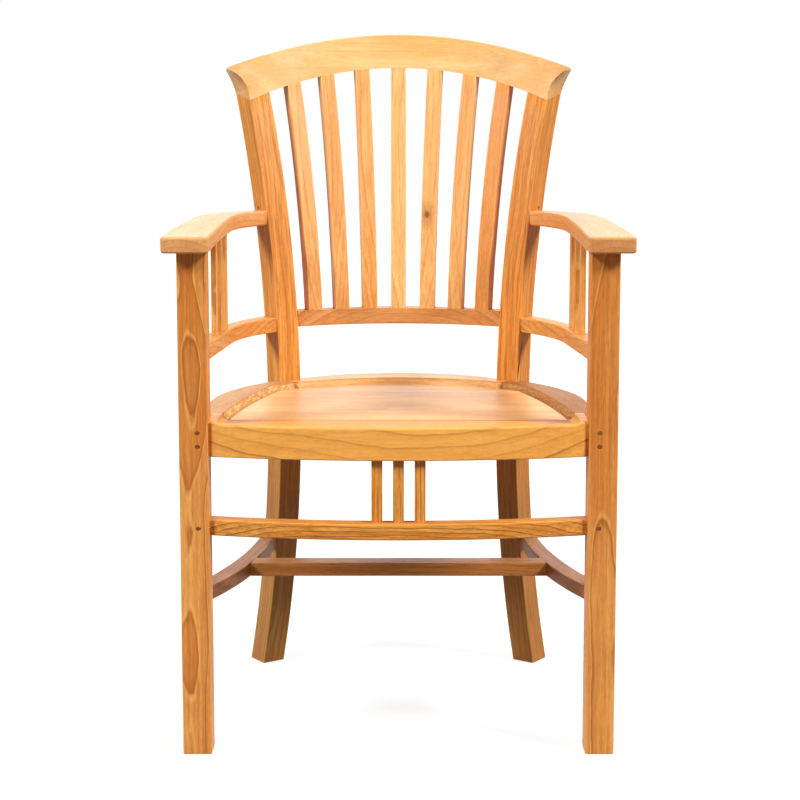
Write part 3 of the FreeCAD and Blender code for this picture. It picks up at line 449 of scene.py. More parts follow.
    def blemishes(
        self, wiring: Wiring, place: Socket, knot: Socket, opened: Socket, colour: Socket
    ) -> Socket:
        """Darkens the heart of a knot and roughens grain that a curved cut has opened.

        Args:
            wiring: The group being built.
            place: The place in the log, in metres.
            knot: How near the heart of a knot is, from 0 to 1.
            opened: How far a cut has opened the grain, from 0 to 1.
            colour: The colour so far.

        Returns:
            The colour with its blemishes.
        """
        halo = wiring.ramp(knot, KNOT_STOPS)
        colour = wiring.mix(halo, colour, linear(self.dark, KNOT_LIFT))
        flecks = wiring.grain(place, Mark.FLECK)
        bright = wiring.maths("MULTIPLY", wiring.ramp(flecks, BRIGHT_FLECK_STOPS), opened)
        deep = wiring.maths("MULTIPLY", wiring.ramp(flecks, DEEP_FLECK_STOPS), opened)
        for share, level, fleck in (
            (opened, OPEN_SHARE, OPEN_COLOUR),
            (bright, BRIGHT_FLECK_SHARE, BRIGHT_FLECK_COLOUR),
            (deep, DEEP_FLECK_SHARE, DEEP_FLECK_COLOUR),
        ):
            colour = wiring.mix(wiring.maths("MULTIPLY", share, level), colour, linear(fleck))
        return colour

    @staticmethod
    def pores(wiring: Wiring, place: Socket, late: Socket) -> Socket:
        """Gives the short dark pore lines, denser in the early wood.

        Args:
            wiring: The group being built.
            place: The place in the log, in metres.
            late: How dark the late wood is there.

        Returns:
            How deep in a pore the place is, from 0 to 1.
        """
        dashes = wiring.ramp(wiring.grain(place, Mark.PORE), PORE_STOPS)
        early = wiring.maths("SUBTRACT", 1.0, wiring.maths("MULTIPLY", late, LATE_WOOD_PORES))
        return wiring.maths("MULTIPLY", dashes, early)

    def sheen(self, wiring: Wiring, place: Socket, late: Socket, pores: Socket) -> Socket:
        """Gives the roughness: oiled, smoother on the dense late wood and duller in the pores.

        Args:
            wiring: The group being built.
            place: The place in the log, in metres.
            late: How dark the late wood is there.
            pores: How deep in a pore the place is.

        Returns:
            The roughness.
        """
        least = self.roughness - SHEEN_SPREAD / 2
        level = wiring.maths("MULTIPLY_ADD", wiring.grain(place, Mark.SHEEN), SHEEN_SPREAD, least)
        level = wiring.maths("MULTIPLY_ADD", late, LATE_WOOD_SHEEN, level)
        return wiring.maths("MULTIPLY_ADD", pores, PORE_SHEEN, level)

    @staticmethod
    def relief(wiring: Wiring, place: Socket, late: Socket, pores: Socket) -> Socket:
        """Gives the height: proud late wood, sunk pores and the fine ripple of the fibres.

        Args:
            wiring: The group being built.
            place: The place in the log, in metres.
            late: How dark the late wood is there.
            pores: How deep in a pore the place is.

        Returns:
            The height for the bump, where 1 is the bump's whole depth.
        """
        ripple = wiring.maths("MULTIPLY", wiring.grain(place, Mark.RIPPLE), RIPPLE_RISE)
        height = wiring.maths("MULTIPLY_ADD", late, LATE_WOOD_RISE, ripple)
        return wiring.maths("MULTIPLY_ADD", pores, PORE_RISE, height)


@dataclass(frozen=True)
class Knot:
    """A knot that runs through a board: its heart, reach, darkness and how round it is."""

    place: Direction
    reach: float
    depth: float = 1.0
    outline: Direction = (1.0, 0.0, 0.7)

    def nearness(self, wiring: Wiring, place: Socket) -> Socket:
        """Finds how near the knot's heart is.

        Args:
            wiring: The material being built.
            place: The place on the chair, in metres.

        Returns:
            The nearness, rising from 0 at the knot's reach.
        """
        away = wiring.node("VectorMath", {"operation": "SUBTRACT"}, in_0=place, in_1=self.place)
        flat = wiring.stretched(away.outputs[0], self.outline)
        distance = wiring.node("VectorMath", {"operation": "LENGTH"}, in_0=flat).outputs["Value"]
        near = wiring.maths("MULTIPLY_ADD", distance, -1.0 / self.reach, 1.0)
        near = wiring.maths("MAXIMUM", near, 0.0)
        return wiring.maths("MULTIPLY", near, self.depth)


@dataclass(frozen=True)
class Bow:
    """The curve of a bent post: how far its middle line moves for each squared metre of height."""

    level: float
    bend: Direction

    def straightened(self, wiring: Wiring, place: Socket) -> Socket:
        """Takes a place on the bent post back to where it lay in the straight plank.

        Args:
            wiring: The material being built.
            place: The place on the chair, in metres.

        Returns:
            The place before the bending.
        """
        height = wiring.node("SeparateXYZ", None, Vector=place).outputs["Z"]
        rise = wiring.maths("SUBTRACT", height, self.level)
        square = wiring.maths("MULTIPLY", rise, rise)
        moved = wiring.node("VectorMath", {"operation": "SCALE"}, in_0=self.bend, Scale=square)
        back = wiring.node(
            "VectorMath", {"operation": "SUBTRACT"}, in_0=place, in_1=moved.outputs[0]
        )
        return back.outputs[0]


@dataclass(frozen=True)
class Butt:
    """Painted shade on the lower back posts under the seat, which deepens over a span below a
    level.
    """

    level: float
    span: float
    depth: float

    def share(self, wiring: Wiring, place: Socket) -> Socket:
        """Finds how much painted shade a place gets.

        Args:
            wiring: The material being built.
            place: The place on the chair, in metres.

        Returns:
            The share of the painted shade's colour, 0 above the level.
        """
        height = wiring.node("SeparateXYZ", None, Vector=place).outputs["Z"]
        fall = wiring.maths("MULTIPLY_ADD", height, -1.0 / self.span, self.level / self.span)
        fall = wiring.maths("MINIMUM", wiring.maths("MAXIMUM", fall, 0.0), 1.0)
        return wiring.maths("MULTIPLY", fall, self.depth)


@dataclass(frozen=True)
class Board:
    """How one piece lies in the log that it was sawn from.

    The fibres run along one way and the wide face looks another. The tilt, in degrees, is how far
    the fibres stray from the piece's own length, and the pith lies that many metres away. Without
    a tone, chance settles how dark the board is.
    """

    along: Direction
    face: Direction
    sawing: Sawing = Sawing.FLAT
    tilt: float = 1.4
    pith: float = 0.09
    tone: float | None = None
    knot: Knot | None = None
    end_depth: float = 1.0
    bow: Bow | None = None
    butt: Butt | None = None

    def mapping(self, name: str, middle: Vector) -> tuple[Euler, Vector]:
        """Finds the turn and shift that take a point of the chair to its place in the log.

        Args:
            name: The piece's name, which also settles its chance values.
            middle: The middle of the piece, in metres.

        Returns:
            The rotation and the location for a Mapping node.
        """
        chance = random.Random(name)
        along = Vector(self.along).normalized()
        side = Vector(self.face).cross(along).normalized()
        face = along.cross(side)
        turn = Matrix((along, side, face))
        lean = radians(self.tilt * chance.uniform(*TILT_RANGE) * chance.choice((-1, 1)))
        sway = radians(self.tilt * chance.uniform(*SWAY_RANGE))
        turn = Matrix.Rotation(lean, 3, "Y") @ Matrix.Rotation(sway, 3, "Z") @ turn
        to_side, below = self.sawing.value
        distance = self.pith * chance.uniform(*PITH_RANGE)
        hand = chance.choice((-1, 1))
        start = chance.uniform(*LOG_RANGE)
        pith = Vector((start, hand * to_side * distance, below * distance))
        return turn.to_euler("XYZ"), pith - turn @ middle

    def end_grain(self, wiring: Wiring) -> Socket:
        """Finds the faces that cut across the fibres.

        Args:
            wiring: The material being built.

        Returns:
            The end's depth on those faces, and 0 on the ones along the fibres.
        """
        normal = wiring.node("TexCoord").outputs["Normal"]
        along = tuple(Vector(self.along).normalized())
        facing = wiring.node("VectorMath", {"operation": "DOT_PRODUCT"}, in_0=normal, in_1=along)
        across = wiring.maths("ABSOLUTE", facing.outputs["Value"])
        return wiring.ramp(across, ((END_STARTS, 0.0), (END_FULL, self.end_depth)))

    def shade(self, name: str) -> float:
        """Settles how dark the board is among its fellows.

        Args:
            name: The piece's name.

        Returns:
            The tone, from 0 to 1 and more for a board that is darker than its fellows.
        """
        if self.tone is not None:
            return self.tone
        return random.Random(name + " tone").uniform(*TONE_RANGE)


def teak_material(name: str, finish: Teak, board: Board, middle: Vector) -> bpy.types.Material:
    """Makes the material of one piece.

    Args:
        name: The piece's name.
        finish: The kind of teak.
        board: How the piece lies in the log.
        middle: The middle of the piece, in metres.

    Returns:
        The material.
    """
    material = bpy.data.materials.new(f"{finish.name}_{name}")
    material.use_nodes = True
    tree = material.node_tree
    tree.nodes.clear()
    wiring = Wiring(tree)
    rotation, location = board.mapping(name, middle)
    place = wiring.node("TexCoord").outputs["Object"]
    straight = board.bow.straightened(wiring, place) if board.bow else place
    mapping = wiring.node("Mapping", None, Vector=straight, Rotation=rotation, Location=location)
    figure = wiring.node("Group", {"node_tree": finish.figure()})
    wiring.feed(figure, "Place", mapping.outputs[0])
    for socket, attribute in (("Arris", "arris"), ("Open", "open")):
        mark = wiring.node("Attribute", {"attribute_name": attribute})
        wiring.feed(figure, socket, mark.outputs["Fac"])
    wiring.feed(figure, "Tone", board.shade(name))
    wiring.feed(figure, "End", board.end_grain(wiring))
    if board.knot:
        wiring.feed(figure, "Knot", board.knot.nearness(wiring, place))
    if board.butt:
        wiring.feed(figure, "Butt", board.butt.share(wiring, place))
    height = figure.outputs["Height"]
    bump = wiring.node("Bump", None, Height=height, Strength=finish.bump, Distance=BUMP_DEPTH)
    shader = wiring.node(
        "BsdfPrincipled",
        None,
        Base_Color=figure.outputs["Colour"],
        Roughness=figure.outputs["Roughness"],
        Specular_IOR_Level=SPECULAR_LEVEL,
        Normal=bump.outputs[0],
    )
    wiring.node("OutputMaterial", None, Surface=shader.outputs[0])
    return material


LEG_TEAK = Teak(
    "leg_teak", (250, 182, 100), (218, 132, 54), (146, 72, 22),
    ring_gap=0.0044, ring_line=0.6, ring_edge=0.6, ring_tone=0.5, wander=0.0046,
    wave=0.0003, cloud=0.4, streak=0.34, dash=0.2, mottle=0.2, pore=0.2,
)
POST_TEAK = Teak(
    "post_teak", (252, 190, 100), (236, 154, 64), (166, 84, 24),
    ring_gap=0.0038, ring_line=0.75, ring_tone=0.4, wander=0.004, streak=0.5, dash=0.45,
    mottle=0.2, pore=0.2,
)
CREST_TEAK = Teak(
    "crest_teak", (252, 212, 150), (240, 182, 108), (196, 126, 66),
    ring_gap=0.013, ring_line=0.2, ring_tone=0.55, cloud=0.9, streak=0.2, dash=0.06, mottle=0.1,
    pore=0.12,
)
SLAT_TEAK = Teak(
    "slat_teak", (254, 210, 140), (232, 156, 78), (178, 100, 40),
    ring_gap=0.0058, ring_line=0.5, ring_tone=0.3, cloud=0.3, streak=0.34, dash=0.2, mottle=0.14,
    pore=0.15,
)
ARM_TEAK = Teak(
    "arm_teak", (242, 184, 122), (222, 148, 82), (172, 100, 44),
    ring_gap=0.009, ring_line=0.4, ring_tone=0.35, cloud=0.5, streak=0.22, dash=0.14, mottle=0.14,
    pore=0.15, roughness=0.38,
)
APRON_TEAK = Teak(
    "apron_teak", (254, 188, 96), (244, 162, 68), (158, 84, 24),
    ring_gap=0.0105, ring_line=0.7, ring_edge=0.2, ring_tone=0.4, wander=0.005, wave=0.001,
    cloud=0.5, streak=0.16, dash=0.1, mottle=0.13, pore=0.15, roughness=0.38,
)
BOARD_TEAK = Teak(
    "board_teak", (254, 216, 164), (244, 188, 126), (206, 140, 80),
    ring_gap=0.006, ring_line=0.5, ring_tone=0.5, wander=0.002, cloud=0.5, streak=0.4, dash=0.16,
    mottle=0.1, pore=0.12, roughness=0.4,
)
RAIL_TEAK = Teak(
    "rail_teak", (246, 190, 112), (224, 150, 70), (150, 82, 28),
    ring_gap=0.006, ring_line=0.6, ring_tone=0.5, wave=0.0008, streak=0.3, dash=0.2, mottle=0.18,
)
BACK_RAIL_TEAK = Teak(
    "back_rail_teak", (250, 198, 130), (222, 148, 80), (132, 68, 26),
    ring_gap=0.009, ring_line=0.6, ring_tone=0.7, wave=0.001, cloud=0.4, streak=0.2, dash=0.12,
    mottle=0.12, pore=0.15,
)
RIM_TEAK = Teak(
    "rim_teak", (250, 204, 138), (238, 178, 108), (186, 118, 58),
    ring_gap=0.007, ring_line=0.45, ring_tone=0.4, streak=0.28, dash=0.14, mottle=0.14,
    roughness=0.4,
)
# Greyer, darker teak for the seat's side rails; its dark body colour holds the painted shadow on
# the right rail.
SIDE_TEAK = Teak(
    "side_teak", (220, 168, 114), (162, 104, 50), (122, 74, 34),
    ring_gap=0.007, ring_line=0.35, ring_tone=0.3, cloud=0.25, streak=0.28, dash=0.16,
    mottle=0.14, roughness=0.54,
)
STRETCHER_TEAK = Teak(
    "stretcher_teak", (254, 184, 90), (232, 144, 52), (112, 50, 12),
    ring_gap=0.0048, ring_line=0.9, ring_edge=0.4, ring_tone=0.5, wave=0.0012, streak=0.3,
    dash=0.34, mottle=0.24,
)
# Darker teak for the cross and side stretchers: painted shade for the seat's shadow on them.
PAINTED_SHADE_TEAK = Teak(
    "shade_teak", (220, 148, 78), (172, 102, 44), (120, 64, 24),
    ring_gap=0.005, ring_line=0.5, ring_tone=0.4, streak=0.36, dash=0.3, mottle=0.2,
)
PEG_TEAK = Teak(
    "peg_teak", (206, 138, 78), (150, 88, 42), (84, 44, 20),
    ring_gap=0.0016, ring_line=0.7, mottle=0.5, bump=0.5,
)


@dataclass(frozen=True)
class Rounding:
    """How a piece's corners are eased: how wide, and where the easing stops.

    Corners that a neighbour covers stay sharp, except along the way given by along, where the
    plane runs past the joints. Corners of a face that looks a spared way stay sharp too, and so
    do those that lack a face for any of the ways in only.
    """

    width: float
    along: Direction | None = None
    spared: tuple[Direction, ...] = ()
    only: tuple[Direction, ...] = ()
    shortest: float = 0.001

    def runs_on(self, edge: bmesh.types.BMEdge) -> bool:
        """Tells whether the edge lies along the way on which the rounding passes the joints.

        Args:
            edge: An edge of the piece.

        Returns:
            Whether it does.
        """
        if self.along is None:
            return False
        way = (edge.verts[1].co - edge.verts[0].co).normalized()
        return abs(way.dot(Vector(self.along).normalized())) > RUNS_ALONG

    def spares(self, edge: bmesh.types.BMEdge) -> bool:
        """Tells whether the edge bounds a face that looks a spared way, or lacks a wanted one.

        Args:
            edge: An edge of the piece.

        Returns:
            Whether it stays sharp.
        """
        if not all(self.bounds_face(edge, way) for way in self.only):
            return True
        return any(self.bounds_face(edge, way) for way in self.spared)

    @staticmethod
    def bounds_face(edge: bmesh.types.BMEdge, way: Direction) -> bool:
        """Tells whether one of the edge's faces looks roughly the given way."""
        return any(face.normal.dot(Vector(way)) > LOOKS_ALONG for face in edge.link_faces)


@dataclass(frozen=True)
class Cove:
    """A hollow cut across the grain, which leaves the wood open and speckled.

    Its faces lean the given way, and look up by a share between the two slopes.
    """

    way: Direction
    depth: float
    lean: float = 0.2
    slopes: tuple[float, float] = (0.1, 0.97)

    def takes_in(self, face: bmesh.types.BMFace) -> bool:
        """Tells whether a face belongs to the hollow."""
        steep, flat = self.slopes
        return steep < face.normal.z < flat and face.normal.dot(Vector(self.way)) > self.lean

    def mark(self, shape: bmesh.types.BMesh) -> None:
        """Writes how open the grain is to the hollow's faces.

        Args:
            shape: The piece's mesh, which gets the layer.
        """
        layer = shape.loops.layers.float.new("open")
        for face in filter(self.takes_in, shape.faces):
            for corner in face.loops:
                corner[layer] = self.depth


@dataclass
class Workshop:
    """Turns CAD nodes into finished pieces. Lengths are in metres and angles in radians."""

    touch: float = 0.0009
    weld: float = 2e-6
    facet: float = radians(0.7)
    crease: float = radians(28.0)
    sharp: float = radians(36.0)
    probes: tuple[float, ...] = (0.2, 0.5, 0.8)
    pocket_lift: float = 0.0002
    pocket_reach: float = 0.06
    segments: int = 3
    face_weight: int = 60
    trees: dict[str, BVHTree] = field(default_factory=dict)

    def tree(self, node: str) -> BVHTree:
        """Gives a node's triangles as a search tree, made once.

        Args:
            node: The node's name.

        Returns:
            The tree.
        """
        if node not in self.trees:
            shape = bmesh.new()
            shape.from_mesh(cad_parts[node].data)
            self.trees[node] = BVHTree.FromBMesh(shape)
            shape.free()
        return self.trees[node]

    def neighbours(self, node: str) -> list[BVHTree]:
        """Finds the nodes whose boxes come near this one.

        Args:
            node: The node's name.

        Returns:
            Their search trees.
        """
        low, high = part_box(node)
        near = []
        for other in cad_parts:
            if other == node:
                continue
            other_low, other_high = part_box(other)
            gaps = [
                max(other_low[axis] - high[axis], low[axis] - other_high[axis]) for axis in range(3)
            ]
            if max(gaps) < self.touch:
                near.append(self.tree(other))
        return near

    def merged(self, node: str) -> bmesh.types.BMesh:
        """Copies a node's mesh, joins its loose triangles and melts flat facets into faces.

        Args:
            node: The node's name.

        Returns:
            The copy, with an empty layer for rounded arrises, which the material lightens for wear
            and a painted highlight.
        """
        shape = bmesh.new()
        shape.from_mesh(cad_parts[node].data)
        bmesh.ops.remove_doubles(shape, verts=shape.verts[:], dist=self.weld)
        bmesh.ops.dissolve_limit(
            shape,
            angle_limit=self.facet,
            verts=shape.verts[:],
            edges=shape.edges[:],
            use_dissolve_boundaries=False,
        )
        bmesh.ops.recalc_face_normals(shape, faces=shape.faces[:])
        shape.loops.layers.float.new("arris")
        return shape

    def free_arrises(
        self, shape: bmesh.types.BMesh, node: str, rounding: Rounding
    ) -> list[bmesh.types.BMEdge]:
        """Finds the outward corners that are rounded.

        Args:
            shape: The merged mesh.
            node: The node that it copies.
            rounding: How wide the rounding is and where it runs.

        Returns:
            The edges to round.
        """
        near = self.neighbours(node)
        own = BVHTree.FromBMesh(shape)
        wear_and_highlight = shape.loops.layers.float["arris"]
        found = []
        for edge in shape.edges:
            if len(edge.link_faces) != 2 or edge.calc_length() < rounding.shortest:
                continue
            if any(face.loops[0][wear_and_highlight] for face in edge.link_faces):
                continue
            if edge.calc_face_angle_signed(0.0) < self.crease or rounding.spares(edge):
                continue
            if self.on_pocket(own, edge):
                continue
            start, end = (corner.co for corner in edge.verts)
            points = [start.lerp(end, share) for share in self.probes]
            if rounding.runs_on(edge) or all(
                tree.find_nearest(point, self.touch)[0] is None for tree in near for point in points
            ):
                found.append(edge)
        return found

    def on_pocket(self, own: BVHTree, edge: bmesh.types.BMEdge) -> bool:
        """Tells whether an edge is the rim of a mortise or a hole in its own piece.

        Args:
            own: The piece's own triangles.
            edge: An outward edge between two faces.

        Returns:
            Whether one face, looked at from the other, has the pocket's far wall before it.
        """
        first, second = (face.normal for face in edge.link_faces)
        middle = (edge.verts[0].co + edge.verts[1].co) / 2 + (first + second) * self.pocket_lift
        hits = (own.ray_cast(middle, way, self.pocket_reach)[0] for way in (first, second))
        return any(hit is not None for hit in hits)

    def round_over(
        self, shape: bmesh.types.BMesh, edges: list[bmesh.types.BMEdge], width: float
    ) -> None:
        """Rounds edges and marks the new faces as rounded arris, lightened for wear and a painted
        highlight.

        Args:
            shape: The piece's mesh.
            edges: The edges to round.
            width: How wide the rounding is.
        """
        if not edges:
            return
        layer = shape.loops.layers.float["arris"]
        made = bmesh.ops.bevel(
            shape,
            geom=edges,
            offset=width,
            offset_type="OFFSET",
            segments=self.segments,
            profile=0.5,
            affect="EDGES",
            material=-1,
            clamp_overlap=False,
            loop_slide=True,
        )
        for face in made["faces"]:
            for corner in face.loops:
                corner[layer] = 1.0

    def finish(self, shape: bmesh.types.BMesh, name: str) -> bpy.types.Object:
        """Writes a bmesh to a new object with smooth faces and crisp corners.

        Args:
            shape: The finished bmesh, which is freed.
            name: The new object's name.

        Returns:
            The object, at the origin.
        """
        mesh = bpy.data.meshes.new(name)
        shape.to_mesh(mesh)
        shape.free()
        mesh.shade_smooth()
        mesh.set_sharp_from_angle(angle=self.sharp)
        piece = bpy.data.objects.new(name, mesh)
        bpy.context.scene.collection.objects.link(piece)
        normals = piece.modifiers.new("even_normals", "WEIGHTED_NORMAL")
        normals.keep_sharp = True
        normals.weight = self.face_weight
        return piece

    def dress(
        self,
        node: str,
        finish: Teak,
        board: Board,
        roundings: Sequence[Rounding],
        cove: Cove | None = None,
    ) -> bpy.types.Object:
        """Makes the finished piece that stands for one CAD node.

        Args:
            node: The node's name.
            finish: The kind of teak.
            board: How the piece lies in the log.
            roundings: How its corners are eased, the widest first.
            cove: The hollow with open grain, where the piece has one.

        Returns:
            The new piece.
        """
        shape = self.merged(node)
        eased = 0
        for rounding in roundings:
            edges = self.free_arrises(shape, node, rounding)
            self.round_over(shape, edges, rounding.width)
            eased += len(edges)
        if cove:
            cove.mark(shape)
        piece = self.finish(shape, f"{node}_finished")
        low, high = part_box(node)
        piece.data.materials.append(teak_material(node, finish, board, (low + high) / 2))
        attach(piece, BODY)
        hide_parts(node)
        LOG.info("%s: %d arrises rounded, %d faces", piece.name, eased, len(piece.data.polygons))
        return piece


@dataclass
class Legs:
    """The two square front legs and the two back posts, whose grain follows their curve."""

    front_arris: Rounding = Rounding(0.0018, along=UPWARD)
    post_arris: Rounding = Rounding(0.0018, along=UPWARD)
    post_tones: tuple[float, float] = (0.35, 0.85)
    post_level: float = 0.4
    post_bend: tuple[float, float] = (0.205, 0.295)
    # Painted shade that darkens the back posts below the seat towards the floor.
    post_butt: Butt = Butt(0.46, 0.2, 0.45)

    def build(self, shop: Workshop) -> None:
        """Dresses the four uprights.

        Args:
            shop: The workshop that finishes the pieces.
        """
        for side, tone in zip(Side, self.post_tones):
            shop.dress(
                f"front_leg_{side.value}",
                LEG_TEAK,
                Board(UPWARD, FORWARD, Sawing.FLAT, tilt=0.6, pith=0.045, tone=0.4),
                (self.front_arris,),
            )
            shop.dress(
                f"back_post_{side.value}",
                POST_TEAK,
                Board(
                    UPWARD, (side.sign, -1, 0), Sawing.RIFT, tilt=0.5, pith=0.11, tone=tone,
                    bow=Bow(self.post_level, (side.sign * self.post_bend[0], self.post_bend[1], 0)),
                    butt=self.post_butt,
                ),
                (self.post_arris,),
            )


@dataclass
class Back:
    """The crest rail, the seven fanned slats and the lower back rail."""

    crest_arris: Rounding = Rounding(0.0016, spared=(DOWNWARD, LENGTHWISE, LEFTWARD))
    slat_arris: Rounding = Rounding(0.0016)
    rail_arris: Rounding = Rounding(0.002, spared=(UPWARD,))
    slat_tones: tuple[float, ...] = (0.55, 0.5, 0.65, 0.0, 0.2, 0.4, 1.3)
    slat_splay: float = 0.16
    slat_rake: float = 0.3
    slat_turn: float = 0.4
    knotted_slat: int = 5
    knot: Knot = Knot((0.0435, 0.16, 0.692), 0.022)
    crest_blotch: Knot = Knot((0.156, 0.2, 0.921), 0.034, 0.6)

    def build(self, shop: Workshop) -> None:
        """Dresses the back from the crest down.

        Args:
            shop: The workshop that finishes the pieces.
        """
        shop.dress(
            "crest_rail",
            CREST_TEAK,
            Board(
                LENGTHWISE, UPWARD, Sawing.FLAT, tilt=1.4, pith=0.3, tone=0.15,
                knot=self.crest_blotch,
            ),
            (self.crest_arris,),
        )
        middle = (len(self.slat_tones) + 1) / 2
        for number, tone in enumerate(self.slat_tones, start=1):
            fan = (number - middle) / middle
            knot = self.knot if number == self.knotted_slat else None
            along = (self.slat_splay * fan, self.slat_rake, 1)
            face = (-self.slat_turn * fan, -1, self.slat_rake)
            shop.dress(
                f"back_slat_{number}",
                SLAT_TEAK,
                Board(along, face, Sawing.RIFT, tilt=0.9, pith=0.08, tone=tone, knot=knot),
                (self.slat_arris,),
            )
        shop.dress(
            "lower_back_rail",
            BACK_RAIL_TEAK,
            Board(LENGTHWISE, UPWARD, Sawing.RIFT, tilt=3.5, pith=0.15, tone=0.4),
            (self.rail_arris,),
        )


@dataclass
class Arms:
    """The curved armrests, the rails under them and the three short spindles on each side."""

    rest_arris: Rounding = Rounding(0.0035)
    rail_arris: Rounding = Rounding(0.002)
    spindle_arris: Rounding = Rounding(0.001)
    end_depths: tuple[float, float] = (0.1, 0.8)
    rest_tone: float = 0.35
    rest_toe: float = 0.12
    rail_toe: float = 0.2
    spindles: int = 3

    def build(self, shop: Workshop) -> None:
        """Dresses both arms.

        Args:
            shop: The workshop that finishes the pieces.
        """
        for side, end_depth in zip(Side, self.end_depths):
            shop.dress(
                f"armrest_{side.value}",
                ARM_TEAK,
                Board(
                    (-self.rest_toe * side.sign, 1, 0), UPWARD, Sawing.FLAT, tilt=1.2, pith=0.08,
                    tone=self.rest_tone * end_depth, end_depth=end_depth,
                ),
                (self.rest_arris,),
            )
            shop.dress(
                f"arm_rail_{side.value}",
                RAIL_TEAK,
                Board((-self.rail_toe * side.sign, 1, 0), UPWARD, Sawing.RIFT, tilt=1.0),
                (self.rail_arris,),
            )
            for number in range(1, self.spindles + 1):
                shop.dress(
                    f"arm_spindle_{side.value}_{number}",
                    RAIL_TEAK,
                    Board(UPWARD, LENGTHWISE, Sawing.QUARTER, tilt=0.6, pith=0.05),
                    (self.spindle_arris,),
                )


@dataclass
class Seat:
    """The scooped seat: a bowed front rail, two side rails, a back rail, boards and a batten."""

    front_nose: Rounding = Rounding(0.0032, only=(UPWARD, FORWARD))
    front_arris: Rounding = Rounding(0.002, only=(DOWNWARD, FORWARD))
    rail_arris: float = 0.002
    batten_arris: Rounding = Rounding(0.002)
    board_arris: Rounding = Rounding(0.0003, spared=(UPWARD,))
    # The right rail's high tone is partly a painted shadow of the right armrest.
    side_tones_and_shade: tuple[float, float] = (0.0, 1.1)
    side_toe: float = 0.22
    cove_depths: tuple[float, float] = (1.0, 0.3)
    boards: int = 5

    def build(self, shop: Workshop) -> None:
        """Dresses the seat's frame and boards.

        Args:
            shop: The workshop that finishes the pieces.
        """
        shop.dress(
            "seat_front_rail",
            APRON_TEAK,
            Board(LENGTHWISE, UPWARD, Sawing.RIFT, tilt=1.6, pith=0.14, tone=0.2),
            (self.front_nose, self.front_arris),
        )
        for side, tone, depth in zip(Side, self.side_tones_and_shade, self.cove_depths):
            inward = (-side.sign, 0.0, 0.0)
            shop.dress(
                f"seat_side_rail_{side.value}",
                SIDE_TEAK,
                Board(
                    (-self.side_toe * side.sign, 1, 0), UPWARD, Sawing.FLAT, tilt=1.0, tone=tone
                ),
                (Rounding(self.rail_arris, spared=(inward,)),),
                Cove(inward, depth),
            )
        shop.dress(
            "seat_back_rail",
            RIM_TEAK,
            Board(LENGTHWISE, UPWARD, Sawing.FLAT, tilt=1.0, pith=0.2, tone=0.1),
            (Rounding(self.rail_arris, spared=(FORWARD,)),),
        )
        shop.dress(
            "seat_batten",
            RAIL_TEAK,
            Board(DEPTHWISE, UPWARD, Sawing.FLAT, tilt=1.0),
            (self.batten_arris,),
        )
        for number in range(1, self.boards + 1):
            shop.dress(
                f"seat_board_{number}",
                BOARD_TEAK,
                Board(LENGTHWISE, UPWARD, Sawing.FLAT, tilt=0.8, pith=0.1),
                (self.board_arris,),
            )


@dataclass
class Stretchers:
    """The low frame: a bowed front stretcher with three spindles, two side ones and a cross one."""

    front_arris: Rounding = Rounding(0.0025)
    stick_arris: Rounding = Rounding(0.0018)
    spindle_arris: Rounding = Rounding(0.001)
    side_toe: float = 0.22
    spindles: int = 3

    def build(self, shop: Workshop) -> None:
        """Dresses the low frame.

        Args:
            shop: The workshop that finishes the pieces.
        """
        shop.dress(
            "front_stretcher",
            STRETCHER_TEAK,
            Board(LENGTHWISE, UPWARD, Sawing.RIFT, tilt=0.8, pith=0.1, tone=0.4),
            (self.front_arris,),
        )
        # The cross and side stretchers carry painted shade in their colour.
        shop.dress(
            "cross_stretcher",
            PAINTED_SHADE_TEAK,
            Board(LENGTHWISE, FORWARD, Sawing.RIFT, tilt=0.8, tone=0.0),
            (self.stick_arris,),
        )
        for side in Side:
            shop.dress(
                f"side_stretcher_{side.value}",
                PAINTED_SHADE_TEAK,
                Board((-self.side_toe * side.sign, 1, 0), UPWARD, Sawing.RIFT, tilt=0.8),
                (self.stick_arris,),
            )
        for number in range(1, self.spindles + 1):
            shop.dress(
                f"front_spindle_{number}",
                STRETCHER_TEAK,
                Board(UPWARD, FORWARD, Sawing.QUARTER, tilt=0.6, pith=0.05),
                (self.spindle_arris,),
            )


@dataclass
class Pegs:
    """The wooden pegs that lock the front joints, cut off nearly flush."""

    arris: Rounding = Rounding(0.0003)

    def build(self, shop: Workshop) -> None:
        """Dresses the pegs, with end grain on their heads.

        Args:
            shop: The workshop that finishes the pieces.
        """
        shop.dress(
            "front_leg_pegs",
            PEG_TEAK,
            Board(DEPTHWISE, UPWARD, Sawing.FLAT, tilt=2.0, pith=0.012, tone=0.6),
            (self.arris,),
        )


@dataclass
class Plugs:
    """The small wooden plugs over the screws that hold the armrests to the back posts."""

    radius: float = 0.0022
    length: float = 0.003
    proud: float = 0.0002
    across: float = 0.21
    height: float = 0.705
    segments: int = 20

    def build(self, shop: Workshop) -> None:
        """Sets one plug in the front outer face of each back post, above its armrest.

        Args:
            shop: The workshop that finishes the pieces.
        """
        for side in Side:
            post = shop.tree(f"back_post_{side.value}")
            start = Vector((side.sign * self.across, -1.0, self.height))
            place, normal, _, _ = post.ray_cast(start, Vector(DEPTHWISE))
            centre = place + normal * (self.proud - self.length / 2)
            turn = normal.to_track_quat("Z", "Y").to_matrix().to_4x4()
            shape = bmesh.new()
            bmesh.ops.create_cone(
                shape,
                cap_ends=True,
                segments=self.segments,
                radius1=self.radius,
                radius2=self.radius,
                depth=self.length,
                matrix=Matrix.Translation(centre) @ turn,
            )
            piece = shop.finish(shape, f"post_plug_{side.value}")
            board = Board(tuple(normal), UPWARD, pith=0.012, tone=1.0)
            piece.data.materials.append(teak_material(piece.name, PEG_TEAK, board, centre))
            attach(piece, BODY)
            LOG.info("%s: a plug at %s", piece.name, [round(value, 4) for value in centre])


